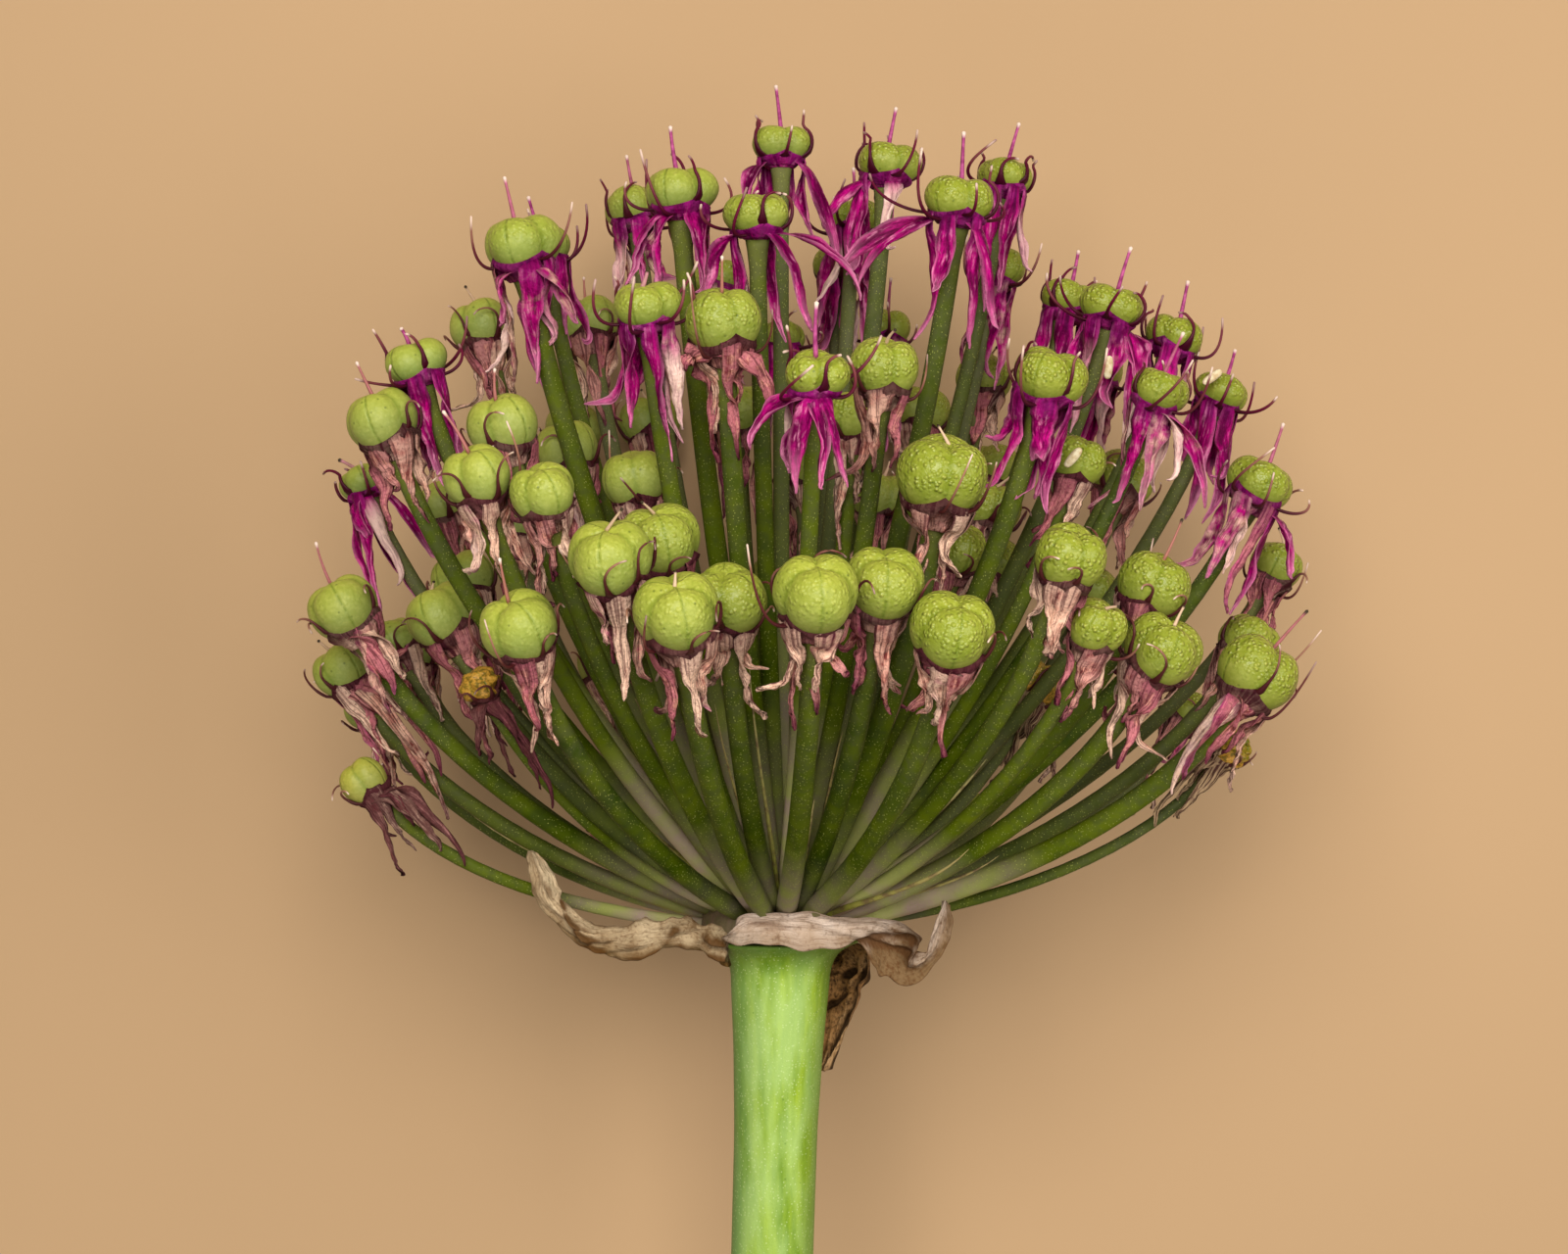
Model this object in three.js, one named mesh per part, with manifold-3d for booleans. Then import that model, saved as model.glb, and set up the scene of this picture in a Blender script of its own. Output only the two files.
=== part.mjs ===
// Giant allium head going to seed, cut with a short stalk and laid on its side.
// Millimetres, +Z up. The stalk runs along Y, and the surface that the head lies on is at Z = 0.
// Inside the head, x is across, y is up the stalk from its top, and z is near: up from the stalk's axis.

import * as THREE from "three";
import { mergeVertices } from "three/addons/utils/BufferGeometryUtils.js";
import Module from "manifold-3d";

const wasm = await Module();
wasm.setup();

// Height of the stalk's axis above the surface, with the head resting on four of its capsules
const AXIS_HEIGHT = 46;
const FOOT_TRIM = 0.6;
const CLEAR_OF_SURFACE = 2.6;
const SURFACE_BLOCK = { side: 300, depth: 20 };

// Stages of a floret: petals still bright, fading, seed set, and dried out
const YOUNG = 0;
const FADING = 1;
const SET = 2;
const SPENT = 3;

// Stalk: radius at each height below its top plate, and how far it leans over a millimetre
const STALK_RINGS = [
  [4.2, -38],
  [4.2, -34],
  [4.25, -22],
  [4.6, -13],
  [5.15, -5.3],
  [5.6, -4.1],
  [6.4, -3.2],
  [7.9, -2.6],
];
const STALK_TOP = -2.3;
const STALK_SIDES = 20;
const STALK_LEAN = 0.029;

// Receptacle: the dome that every pedicel grows from, and how far they spread over it
const DOME = { radius: 8.2, rise: 5.6, up: -1, underside: -2, rim: 0.9, sides: 10, rings: 3 };
const ROOT_DEPTH = 1.2;
const SEAT_SPREAD = 1.25;
const SEAT_LIMIT = 88;
const LEAVE_SPREAD = 1.28;
const LEAVE_LIMIT = 84;

// Pedicel: its radii, and how much of its length it keeps its first and its last heading
const PEDICEL = { foot: 1.0, waist: 1.05, neck: 1.2, sides: 3, straightTilt: 38, first: 0.33, last: 0.3 };
const UPTURN = 0.45;

// Capsule: its height for a width of one at each stage, then its rings as [height, radius]
const CAPSULE_HEIGHT = [0.66, 0.72, 0.86, 0.95];
const CAPSULE = { base: [-0.42, 0.46], belly: [-0.08, 1], shoulder: [0.34, 0.7], dip: 0.3, sides: 6 };
const GROOVE = 0.84;
const STYLE = { radius: 0.35, root: 0.36, foot: 0.4 };

// Petals: the sides that have one at each stage, their length, and their way out from the axis
const PETAL_SIDES = [[0, 1, 2, 4, 5], [0, 1, 3, 4], [0, 2, 3, 5], [1, 3, 5]];
const PETAL_LENGTH = [10.5, 9, 7.5, 6];
const PETAL = { width: 2.1, thickness: 0.75, start: -0.45, bend: 0.42, bendOut: 2.8, tipOut: 3.3 };
const PETAL_UNEVEN = { length: 0.2, tipOut: 0.8 };
const HANG = 0.7;

// Filaments: the sides that have one at each stage, and their bow out and up round the capsule
const FILAMENT_SIDES = [[0, 2, 4], [0, 3], [1, 4], [2]];
const FILAMENT = { thickness: 0.7, turn: 0.66, bowOut: 1.22, bowUp: -0.3, lift: 0.72, lean: 0.12 };
const FILAMENT_UNEVEN = 0.15;

// What each use of a floret's noise is for
const USE = { petalLength: 0, petalTip: 7, filamentLift: 20, filamentLean: 30, twist: 50 };

// Florets of the upper side, as [across, up, near, capsule width, stage, style length].
// They were measured by eye from straight above, at this distance from the stalk's axis.
const EYE = { across: 0.3, up: 29.5, distance: 320 };
const SEEN_FLORETS = [
  [-26.7, 68.6, 12, 8.4, FADING, 4.6],
  [-30.4, 60.2, -15, 6.6, SET, 0],
  [-19.6, 60.5, -31, 6.6, SET, 3],
  [-37.4, 56.6, 10, 6.8, YOUNG, 2],
  [-14.9, 72.3, -18, 6.5, FADING, 4],
  [-10.5, 74.0, 10, 7.9, YOUNG, 4.6],
  [-2.5, 71.7, 16, 7.0, YOUNG, 0],
  [0.0, 78.7, -4, 6.2, YOUNG, 4.8],
  [10.8, 76.8, -6, 6.8, YOUNG, 4.3],
  [18.2, 73.2, 14, 7.6, YOUNG, 4.8],
  [22.9, 75.5, -8, 5.8, YOUNG, 4.4],
  [22.0, 66.3, -14, 5.8, FADING, 0],
  [6.1, 66.5, -26, 5.8, FADING, 0],
  [-6.3, 65.0, -28, 5.4, FADING, 0],
  [-14.0, 62.4, 28, 7.4, YOUNG, 0],
  [-5.9, 60.8, 26, 8.2, SET, 3.5],
  [3.5, 55.4, 40, 7.1, YOUNG, 5],
  [10.5, 56.0, 28, 7.4, SET, 0],
  [10.8, 60.0, -26, 5.4, FADING, 4.5],
  [20.8, 54.9, -20, 6.0, SET, 0],
  [27.2, 55.2, 26, 8.2, FADING, 0],
  [29.3, 62.9, -10, 6.2, YOUNG, 4],
  [33.9, 62.2, 3, 6.8, YOUNG, 4.6],
  [40.2, 59.2, -6, 6.4, YOUNG, 4.4],
  [38.5, 53.7, 14, 6.2, FADING, 4.5],
  [44.9, 53.4, -10, 6.0, YOUNG, 3.5],
  [48.9, 44.2, 5, 7.1, FADING, 4.6],
  [30.1, 46.5, 14, 6.2, SET, 0],
  [16.6, 45.0, 33, 9.6, SET, 0],
  [7.5, 51.0, 14, 6.2, SET, 0],
  [29.6, 36.6, 36, 7.8, SET, 0],
  [37.9, 34.0, 18, 7.7, SET, 4.3],
  [32.3, 29.5, 32, 6.4, SET, 0],
  [38.8, 27.2, 25, 8.4, SET, 0],
  [48.6, 24.9, 8, 8.6, SET, 5],
  [47.8, 27.9, -4, 6.6, SET, 3],
  [41.5, 20.8, -18, 5.4, SET, 0],
  [50.6, 35.7, -12, 5.6, SET, 0],
  [3.5, 33.0, 46, 9.2, SET, 0],
  [10.3, 34.0, 39, 8.6, SET, 0],
  [17.7, 29.1, 42, 9.0, SET, 0],
  [-10.5, 30.9, 45, 9.2, SET, 0],
  [-5.7, 32.3, 37, 8.4, SET, 0],
  [-17.3, 36.6, 41, 9.0, SET, 0],
  [-12.5, 38.3, 32, 8.6, SET, 0],
  [-14.9, 44.7, 14, 7.0, SET, 0],
  [-24.4, 43.2, 34, 7.0, SET, 0],
  [-31.1, 44.9, 32, 7.4, SET, 4.4],
  [-28.4, 50.1, 21, 7.6, SET, 3],
  [-21.7, 47.7, 0, 6.8, SET, 0],
  [-40.7, 50.6, 13, 7.6, SET, 3.7],
  [-42.7, 44.3, -8, 5.4, YOUNG, 0],
  [-44.6, 31.5, 10, 7.5, SET, 4.5],
  [-34.5, 30.7, 4, 7.8, SET, 0],
  [-32.6, 34.3, -5, 6.8, SET, 0],
  [-26.9, 29.5, 36, 8.4, SET, 4.4],
  [-44.7, 25.2, -3, 6.2, SET, 0],
  [-39.5, 27.9, -13, 5.6, SET, 0],
  [-37.7, 25.9, -24, 5.6, SET, 0],
  [-42.2, 21.3, -14, 5.0, SET, 0],
  [-42.4, 13.9, 2, 5.0, SPENT, 0],
  [-30.7, 23.5, 16, 4.0, SPENT, 0],
  [18.1, 37.5, 17, 6.4, SET, 0],
  [21.5, 41.7, 6, 6.4, SET, 0],
  [-4.5, 51.5, 3, 6.6, SET, 0],
  [10.2, 42.7, 0, 6.2, SET, 0],
  [0.0, 59.0, -24, 5.2, FADING, 0],
  [26.0, 23.6, -9, 5.6, SPENT, 0],
  [45.8, 17.2, 0, 4.4, SPENT, 0],
];

// The four florets that the head rests on, as [across, up, capsule width]
const FOOT_FLORETS = [
  [-20, 9, 7.8],
  [20, 8, 7.8],
  [-15, 53, 7.4],
  [16, 54, 7.4],
];

// Florets of the underside, spread evenly over the head's globe by the golden angle
const GLOBE = { across: 0.5, up: 33, radius: 45, uneven: 2.5, turns: 260, lowest: -0.27, below: -4 };
const UNDERSIDE_WIDTH = { crown: 6.4, widening: 0.8, uneven: 0.5 };
const UNDERSIDE_STAGE = { fadingFrom: 0.45, youngFrom: 0.75, style: 4 };
const FLORET_SPACING = 10.8;
const PEDICEL_SPACING = 6;
const GOLDEN_ANGLE = Math.PI * (3 - Math.sqrt(5));

// Papery bract: pairs of points on the lower and the upper edge of each lobe
const BRACT_THICKNESS = 0.62;
const LEFT_LOBE = [
  [[-7.5, -3.1, 4.0], [-7.9, -1.6, 4.3]],
  [[-11.2, -3.1, 5.2], [-11.0, -0.6, 5.6]],
  [[-14.5, -4.1, 5.8], [-13.6, -0.6, 6.4]],
  [[-18.2, -3.3, 6.2], [-16.2, -0.9, 6.8]],
  [[-21.6, -1.5, 6.2], [-19.0, -0.2, 6.8]],
  [[-24.6, 1.6, 5.8], [-21.8, 2.3, 6.6]],
  [[-25.6, 4.6, 5.4], [-22.6, 4.3, 6.2]],
  [[-25.5, 7.0, 5.0], [-24.4, 6.8, 5.4]],
];
const FRONT_LOBE = [
  [[-6.9, -2.4, 6.4], [-6.2, -0.8, 7.2]],
  [[-4.3, -2.4, 8.6], [-3.4, 0.4, 9.6]],
  [[0.0, -2.5, 9.6], [1.0, 0.7, 10.5]],
  [[4.6, -3.0, 8.6], [5.4, 0.5, 9.8]],
  [[8.0, -3.6, 6.8], [9.2, 0.1, 8.2]],
  [[10.6, -5.6, 5.6], [11.6, -0.9, 7.4]],
  [[13.0, -6.6, 5.4], [13.4, -2.2, 7.0]],
  [[15.4, -5.2, 5.6], [14.8, -2.2, 7.0]],
  [[17.0, -1.8, 5.8], [15.8, -1.0, 7.0]],
  [[17.3, 1.5, 6.0], [16.5, 1.2, 6.6]],
];
const BACK_LOBE = [
  [[-9.6, -4.4, -4.4], [-8.2, -3.0, -3.6]],
  [[-6.2, -4.9, -8.4], [-5.4, -3.0, -7.2]],
  [[0.0, -5.1, -10.2], [0.0, -3.0, -9.0]],
  [[4.6, -5.6, -8.6], [5.6, -3.0, -7.4]],
  [[4.9, -6.6, -6.4], [8.8, -4.0, -4.6]],
  [[4.7, -8.2, -5.4], [8.7, -7.4, -4.0]],
  [[4.5, -10.4, -4.9], [7.9, -10.0, -3.9]],
  [[4.3, -13.6, -4.7], [6.3, -13.4, -4.1]],
  [[4.1, -16.4, -4.6], [4.9, -16.2, -4.2]],
];
const BRACT_STEPS = 22;
const BRACT_ROWS = 2;
const BRACT_WAVE = { height: 0.35, length: 3.1, calmAt: 0.3, cup: 0.48 };
const NUDGE = 0.01;

// Points closer than this are one corner of a solid
const WELD = 1e-4;

// Colours and finishes
const STALK_GREEN = new THREE.MeshStandardMaterial({ color: 0x86b84a, roughness: 0.55, metalness: 0 });
const FLORET_GREEN = new THREE.MeshStandardMaterial({ color: 0x8fa648, roughness: 0.5, metalness: 0 });
const PAPERY_TAN = new THREE.MeshStandardMaterial({ color: 0xc2a684, roughness: 0.85, metalness: 0 });

// Repeatable noise between -1 and 1 for a floret's number and a use
function ripple(number, use = 0) {
  const wave = Math.sin(12.9898 * number + 3.7 * use) + Math.sin(78.233 * number + 1.3 * use);
  return 0.5 * wave;
}

// Distance from a point to the straight line between the receptacle and a capsule
function pedicelGap(point, capsule) {
  const heart = new THREE.Vector3(0, DOME.up, 0);
  const line = new THREE.Line3(heart, capsule);
  return line.closestPointToPoint(point, true, new THREE.Vector3()).distanceTo(point);
}

// True place of a floret that was measured from above: nearer ones look larger and further out
function seenFloret([across, up, near, width, stage, style]) {
  const shrink = (EYE.distance - near) / EYE.distance;
  const place = new THREE.Vector3(
    EYE.across + (across - EYE.across) * shrink,
    EYE.up + (up - EYE.up) * shrink,
    near,
  );
  return { place, width: width * shrink, stage, style };
}

function footFloret([across, up, width]) {
  const place = new THREE.Vector3(across, up, -(AXIS_HEIGHT - width / 2));
  return { place, width, stage: SET, style: 0, foot: true };
}

// A floret of the underside, or nothing where another one already stands
function undersideFloret(number, others) {
  const up = 1 - (2 * (number + 0.5)) / GLOBE.turns;
  const out = Math.sqrt(1 - up * up);
  const turn = number * GOLDEN_ANGLE;
  const uneven = ripple(number);
  const { crown, widening } = UNDERSIDE_WIDTH;
  const width = crown + widening * (1 - up) + UNDERSIDE_WIDTH.uneven * uneven;
  const place = new THREE.Vector3(out * Math.cos(turn), up, out * Math.sin(turn));
  place.multiplyScalar(GLOBE.radius + GLOBE.uneven * uneven);
  place.add(new THREE.Vector3(GLOBE.across, GLOBE.up, 0));
  if (up < GLOBE.lowest || place.z > GLOBE.below) return null;
  place.z = Math.max(place.z, width / 2 + CLEAR_OF_SURFACE - AXIS_HEIGHT);
  const crowded = others.some((other) => place.distanceTo(other.place) < FLORET_SPACING);
  if (crowded || others.some((other) => pedicelGap(place, other.place) < PEDICEL_SPACING)) return null;
  let stage = SET;
  if (up > UNDERSIDE_STAGE.fadingFrom) stage = FADING;
  if (up > UNDERSIDE_STAGE.youngFrom) stage = YOUNG;
  return { place, width, stage, style: stage === SET ? 0 : UNDERSIDE_STAGE.style };
}

// Every floret of the head
function allFlorets() {
  const florets = [...SEEN_FLORETS.map(seenFloret), ...FOOT_FLORETS.map(footFloret)];
  for (let number = 0; number < GLOBE.turns; number += 1) {
    const floret = undersideFloret(number, florets);
    if (floret) florets.push(floret);
  }
  return florets;
}

// Direction at an angle from the stalk's axis, turned round it like a given floret
function tilted(place, degrees) {
  const tilt = THREE.MathUtils.degToRad(degrees);
  const round = Math.atan2(place.z, place.x);
  const out = Math.sin(tilt);
  return new THREE.Vector3(out * Math.cos(round), Math.cos(tilt), out * Math.sin(round));
}

// A floret's axis, its pedicel's curve, and the tilt of the straight line to it from the receptacle
function growth(floret) {
  const up = new THREE.Vector3(0, 1, 0);
  const chord = floret.place.clone().sub(new THREE.Vector3(0, DOME.up, 0)).normalize();
  const tilt = THREE.MathUtils.radToDeg(Math.acos(chord.y));
  const axis = chord.multiplyScalar(1 - UPTURN).addScaledVector(up, UPTURN).normalize();
  const height = floret.width * CAPSULE_HEIGHT[floret.stage];
  const seat = tilted(floret.place, Math.min(SEAT_LIMIT, tilt * SEAT_SPREAD));
  seat.multiply(new THREE.Vector3(DOME.radius, DOME.rise, DOME.radius));
  seat.y += DOME.up;
  const leave = tilted(floret.place, Math.min(LEAVE_LIMIT, tilt * LEAVE_SPREAD));
  const neck = floret.place.clone().addScaledVector(axis, -height / 2);
  const reach = neck.distanceTo(seat);
  const root = seat.clone().addScaledVector(leave, -ROOT_DEPTH);
  const curve = new THREE.CubicBezierCurve3(
    root,
    seat.clone().addScaledVector(leave, PEDICEL.first * reach),
    neck.clone().addScaledVector(axis, -PEDICEL.last * reach),
    neck,
  );
  return { ...floret, axis, height, curve, tilt };
}

// A closed skin, put together from rings of points that turn anticlockwise round the way up
class Skin {
  points = [];

  faces = [];

  ring(points) {
    const first = this.points.length;
    this.points.push(...points);
    return points.map((_, i) => first + i);
  }

  // Wall between two rings with as many points
  wall(low, high) {
    const count = low.length;
    for (let i = 0; i < count; i += 1) {
      const next = (i + 1) % count;
      this.faces.push([low[i], low[next], high[next]], [low[i], high[next], high[i]]);
    }
  }

  // Wall from a ring up to one with twice its points
  flare(low, high) {
    const count = high.length;
    low.forEach((point, i) => {
      const here = high[2 * i];
      const before = high[(2 * i + count - 1) % count];
      const after = high[2 * i + 1];
      this.faces.push([point, here, before], [point, after, here]);
      this.faces.push([point, low[(i + 1) % low.length], after]);
    });
  }

  // Wall from a ring up to one with half its points
  narrow(low, high) {
    const count = low.length;
    high.forEach((point, i) => {
      const here = low[2 * i];
      const before = low[(2 * i + count - 1) % count];
      const after = low[2 * i + 1];
      this.faces.push([before, here, point], [here, after, point]);
      this.faces.push([after, high[(i + 1) % high.length], point]);
    });
  }

  // Cone from a ring up to a tip
  roof(low, tip) {
    low.forEach((point, i) => this.faces.push([point, low[(i + 1) % low.length], tip]));
  }

  // Blade or thread that grows out of the face with these corners, through a waist to a tip
  limb(corners, waist, tip) {
    const key = [...corners].sort().join();
    this.faces = this.faces.filter((face) => [...face].sort().join() !== key);
    const middle = this.ring(waist);
    const [end] = this.ring([tip]);
    this.wall(corners, middle);
    this.roof(middle, end);
  }

  geometry() {
    const skin = new THREE.BufferGeometry();
    const numbers = this.points.flatMap((point) => point.toArray());
    skin.setAttribute("position", new THREE.Float32BufferAttribute(numbers, 3));
    skin.setIndex(this.faces.flat());
    return skin;
  }
}

// Points round a centre: one for each radius, in the plane of two directions
function circle(centre, side, cross, radii, turn = 0) {
  return radii.map((radius, i) => {
    const angle = turn + (2 * Math.PI * i) / radii.length;
    return centre
      .clone()
      .addScaledVector(side, radius * Math.cos(angle))
      .addScaledVector(cross, radius * Math.sin(angle));
  });
}

// Pedicel from its root in the receptacle to its neck, in rings of three
function growPedicel(skin, floret, side) {
  const steps = floret.tilt < PEDICEL.straightTilt ? 2 : 3;
  let below = null;
  for (let step = 0; step <= steps; step += 1) {
    const along = step / steps;
    const heading = floret.curve.getTangent(along);
    const across = side.clone().addScaledVector(heading, -side.dot(heading)).normalize();
    const cross = heading.clone().cross(across);
    let radius = PEDICEL.waist;
    if (step === 0) radius = PEDICEL.foot;
    if (step === steps) radius = PEDICEL.neck;
    const radii = Array(PEDICEL.sides).fill(radius);
    const ring = skin.ring(circle(floret.curve.getPoint(along), across, cross, radii));
    if (below) skin.wall(below, ring);
    else skin.faces.push([ring[2], ring[1], ring[0]]);
    below = ring;
  }
  return below;
}

// Three-lobed capsule on the pedicel's neck, with a style where it still has one
function growCapsule(skin, floret, side, cross, neck) {
  const level = (rise) => floret.place.clone().addScaledVector(floret.axis, rise * floret.height);
  const lobedRing = ([rise, share], groove) => {
    const lobe = (share * floret.width) / 2;
    const radii = Array.from({ length: CAPSULE.sides }, (_, i) => lobe * (i % 2 ? groove : 1));
    return skin.ring(circle(level(rise), side, cross, radii));
  };
  const base = lobedRing(CAPSULE.base, 1);
  const belly = lobedRing(CAPSULE.belly, GROOVE);
  const shoulder = lobedRing(CAPSULE.shoulder, GROOVE);
  skin.flare(neck, base);
  skin.wall(base, belly);
  skin.wall(belly, shoulder);
  if (floret.style > 0) {
    const radii = Array(CAPSULE.sides / 2).fill(STYLE.radius);
    const root = skin.ring(circle(level(STYLE.root), side, cross, radii));
    const [tip] = skin.ring([level(STYLE.foot).addScaledVector(floret.axis, floret.style)]);
    skin.narrow(shoulder, root);
    skin.roof(root, tip);
  } else {
    const [dip] = skin.ring([level(CAPSULE.dip)]);
    skin.roof(shoulder, dip);
  }
  return { base, belly };
}

// Direction out from a floret's axis, turned round it by a number of its sides
function outward(side, cross, turns) {
  const angle = (2 * Math.PI * turns) / CAPSULE.sides;
  return side.clone().multiplyScalar(Math.cos(angle)).addScaledVector(cross, Math.sin(angle));
}

// Withered petals that hang from under the capsule, round the pedicel
function growPetals(skin, floret, side, cross, neck, base, number) {
  const hang = floret.axis.clone().multiplyScalar(-HANG).add(new THREE.Vector3(0, HANG - 1, 0)).normalize();
  const start = floret.place.clone().addScaledVector(floret.axis, PETAL.start * floret.height);
  for (const k of PETAL_SIDES[floret.stage]) {
    const out = outward(side, cross, k + 0.5);
    const round = floret.axis.clone().cross(out);
    const uneven = 1 + PETAL_UNEVEN.length * ripple(number, k + USE.petalLength);
    const length = PETAL_LENGTH[floret.stage] * uneven;
    const tipOut = PETAL.tipOut + PETAL_UNEVEN.tipOut * ripple(number, k + USE.petalTip);
    const middle = start.clone().addScaledVector(hang, PETAL.bend * length);
    middle.addScaledVector(out, PETAL.bendOut);
    const waist = [
      middle.clone().addScaledVector(round, PETAL.width / 2),
      middle.clone().addScaledVector(round, -PETAL.width / 2),
      middle.clone().addScaledVector(out, -PETAL.thickness),
    ];
    const tip = start.clone().addScaledVector(out, tipOut).addScaledVector(hang, length);
    const corners = [base[(k + 1) % base.length], base[k], neck[Math.floor((k + 1) / 2) % neck.length]];
    skin.limb(corners, waist, tip);
  }
}

// Dark filaments that curl up round the capsule like claws
function growFilaments(skin, floret, side, cross, base, belly, number) {
  const radius = floret.width / 2;
  const half = FILAMENT.thickness / 2;
  const sides = floret.foot ? [] : FILAMENT_SIDES[floret.stage];
  for (const k of sides) {
    const out = outward(side, cross, k + FILAMENT.turn);
    const round = floret.axis.clone().cross(out);
    const outDown = out.clone().sub(floret.axis).normalize();
    const middle = floret.place
      .clone()
      .addScaledVector(out, FILAMENT.bowOut * radius)
      .addScaledVector(floret.axis, FILAMENT.bowUp * floret.height);
    const waist = [
      middle.clone().addScaledVector(round, -half).addScaledVector(outDown, half),
      middle.clone().addScaledVector(round, half).addScaledVector(outDown, half),
      middle.clone().addScaledVector(outDown, -half),
    ];
    const lift = FILAMENT.lift + FILAMENT_UNEVEN * ripple(number, k + USE.filamentLift);
    const lean = FILAMENT.lean * (1 + ripple(number, k + USE.filamentLean));
    const tip = middle
      .clone()
      .addScaledVector(floret.axis, lift * floret.height)
      .addScaledVector(out, lean * radius);
    skin.limb([base[k], base[k + 1], belly[k + 1]], waist, tip);
  }
}

// One floret as one closed skin
function floretGeometry(floret, number) {
  const skin = new Skin();
  const near = new THREE.Vector3(0, 0, floret.foot ? -1 : 1);
  const twist = floret.foot ? 0 : Math.PI * ripple(number, USE.twist);
  const side = near.addScaledVector(floret.axis, -near.dot(floret.axis)).normalize();
  side.applyAxisAngle(floret.axis, twist);
  const cross = floret.axis.clone().cross(side);
  const neck = growPedicel(skin, floret, side);
  const { base, belly } = growCapsule(skin, floret, side, cross, neck);
  growPetals(skin, floret, side, cross, neck, base, number);
  growFilaments(skin, floret, side, cross, base, belly, number);
  const geometry = skin.geometry();
  if (floret.foot) {
    geometry.computeBoundingBox();
    geometry.translate(0, 0, -AXIS_HEIGHT - FOOT_TRIM - geometry.boundingBox.min.z);
  }
  return geometry;
}

// Solid for joining and cutting, and back to a geometry
function toSolid(geometry) {
  const bare = geometry.clone();
  bare.deleteAttribute("normal");
  bare.deleteAttribute("uv");
  const merged = mergeVertices(bare, WELD);
  return new wasm.Manifold(
    new wasm.Mesh({
      numProp: 3,
      vertProperties: new Float32Array(merged.attributes.position.array),
      triVerts: new Uint32Array(merged.index.array),
    }),
  );
}

function toGeometry(solid) {
  const mesh = solid.getMesh();
  const geometry = new THREE.BufferGeometry();
  geometry.setAttribute("position", new THREE.BufferAttribute(mesh.vertProperties, 3));
  geometry.setIndex(new THREE.BufferAttribute(mesh.triVerts, 1));
  return geometry;
}

// Receptacle dome, with a flat underside
function domeGeometry() {
  const rim = new THREE.Vector2(DOME.rim * DOME.radius, DOME.underside);
  const profile = [new THREE.Vector2(0, DOME.underside), rim];
  for (let i = 0; i <= DOME.rings; i += 1) {
    const rise = (Math.PI * i) / (2 * DOME.rings);
    const radius = i === DOME.rings ? 0 : DOME.radius * Math.cos(rise);
    profile.push(new THREE.Vector2(radius, DOME.up + DOME.rise * Math.sin(rise)));
  }
  return new THREE.LatheGeometry(profile, DOME.sides);
}

// The head: dome and florets grown together, trimmed flat where they touch the surface
function umbelGeometry() {
  const florets = allFlorets().map(growth);
  const solids = florets.map((floret, number) => toSolid(floretGeometry(floret, number)));
  const whole = wasm.Manifold.union([toSolid(domeGeometry()), ...solids]);
  const surface = new THREE.BoxGeometry(SURFACE_BLOCK.side, SURFACE_BLOCK.side, SURFACE_BLOCK.depth);
  surface.translate(0, 0, -AXIS_HEIGHT - SURFACE_BLOCK.depth / 2);
  // The largest body has no loose scrap beside it, and no pocket sealed between its pedicels
  const bodies = whole.subtract(toSolid(surface)).decompose();
  bodies.sort((one, other) => other.volume() - one.volume());
  return toGeometry(bodies[0]);
}

// Stalk turned on its axis, then leant over
function stalkGeometry() {
  const rings = STALK_RINGS.map(([radius, up]) => new THREE.Vector2(radius, up));
  const bottom = new THREE.Vector2(0, STALK_RINGS[0][1]);
  const rim = new THREE.Vector2(STALK_RINGS.at(-1)[0], STALK_TOP);
  const top = new THREE.Vector2(0, STALK_TOP);
  const stalk = new THREE.LatheGeometry([bottom, ...rings, rim, top], STALK_SIDES);
  stalk.translate(0, -STALK_TOP, 0);
  stalk.applyMatrix4(new THREE.Matrix4().makeShear(0, 0, STALK_LEAN, 0, 0, 0));
  return stalk.translate(0, STALK_TOP, 0);
}

// Thin waved sheet between a lower and an upper edge, split into triangles alike on both faces
function bractGeometry(edges) {
  const lower = new THREE.CatmullRomCurve3(edges.map(([low]) => new THREE.Vector3(...low)));
  const upper = new THREE.CatmullRomCurve3(edges.map(([, high]) => new THREE.Vector3(...high)));
  const middle = (along, across) => lower.getPoint(along).lerp(upper.getPoint(along), across);
  const faces = { front: [], back: [] };
  for (let i = 0; i <= BRACT_STEPS; i += 1) {
    const along = i / BRACT_STEPS;
    const ahead = middle(Math.min(1, along + NUDGE), 0.5);
    const heading = ahead.sub(middle(Math.max(0, along - NUDGE), 0.5));
    const breadth = upper.getPoint(along).sub(lower.getPoint(along));
    const normal = heading.cross(breadth).normalize();
    for (let j = 0; j <= BRACT_ROWS; j += 1) {
      const across = j / BRACT_ROWS;
      const wave = BRACT_WAVE.height * Math.sin(BRACT_WAVE.length * i) * (across - BRACT_WAVE.calmAt);
      const cup = BRACT_WAVE.cup * breadth.length() * across * (1 - across);
      const point = middle(along, across).addScaledVector(normal, wave - cup);
      faces.front.push(point.clone().addScaledVector(normal, BRACT_THICKNESS / 2));
      faces.back.push(point.clone().addScaledVector(normal, -BRACT_THICKNESS / 2));
    }
  }
  return closedSheet(faces.front, faces.back, BRACT_STEPS, BRACT_ROWS);
}

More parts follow.
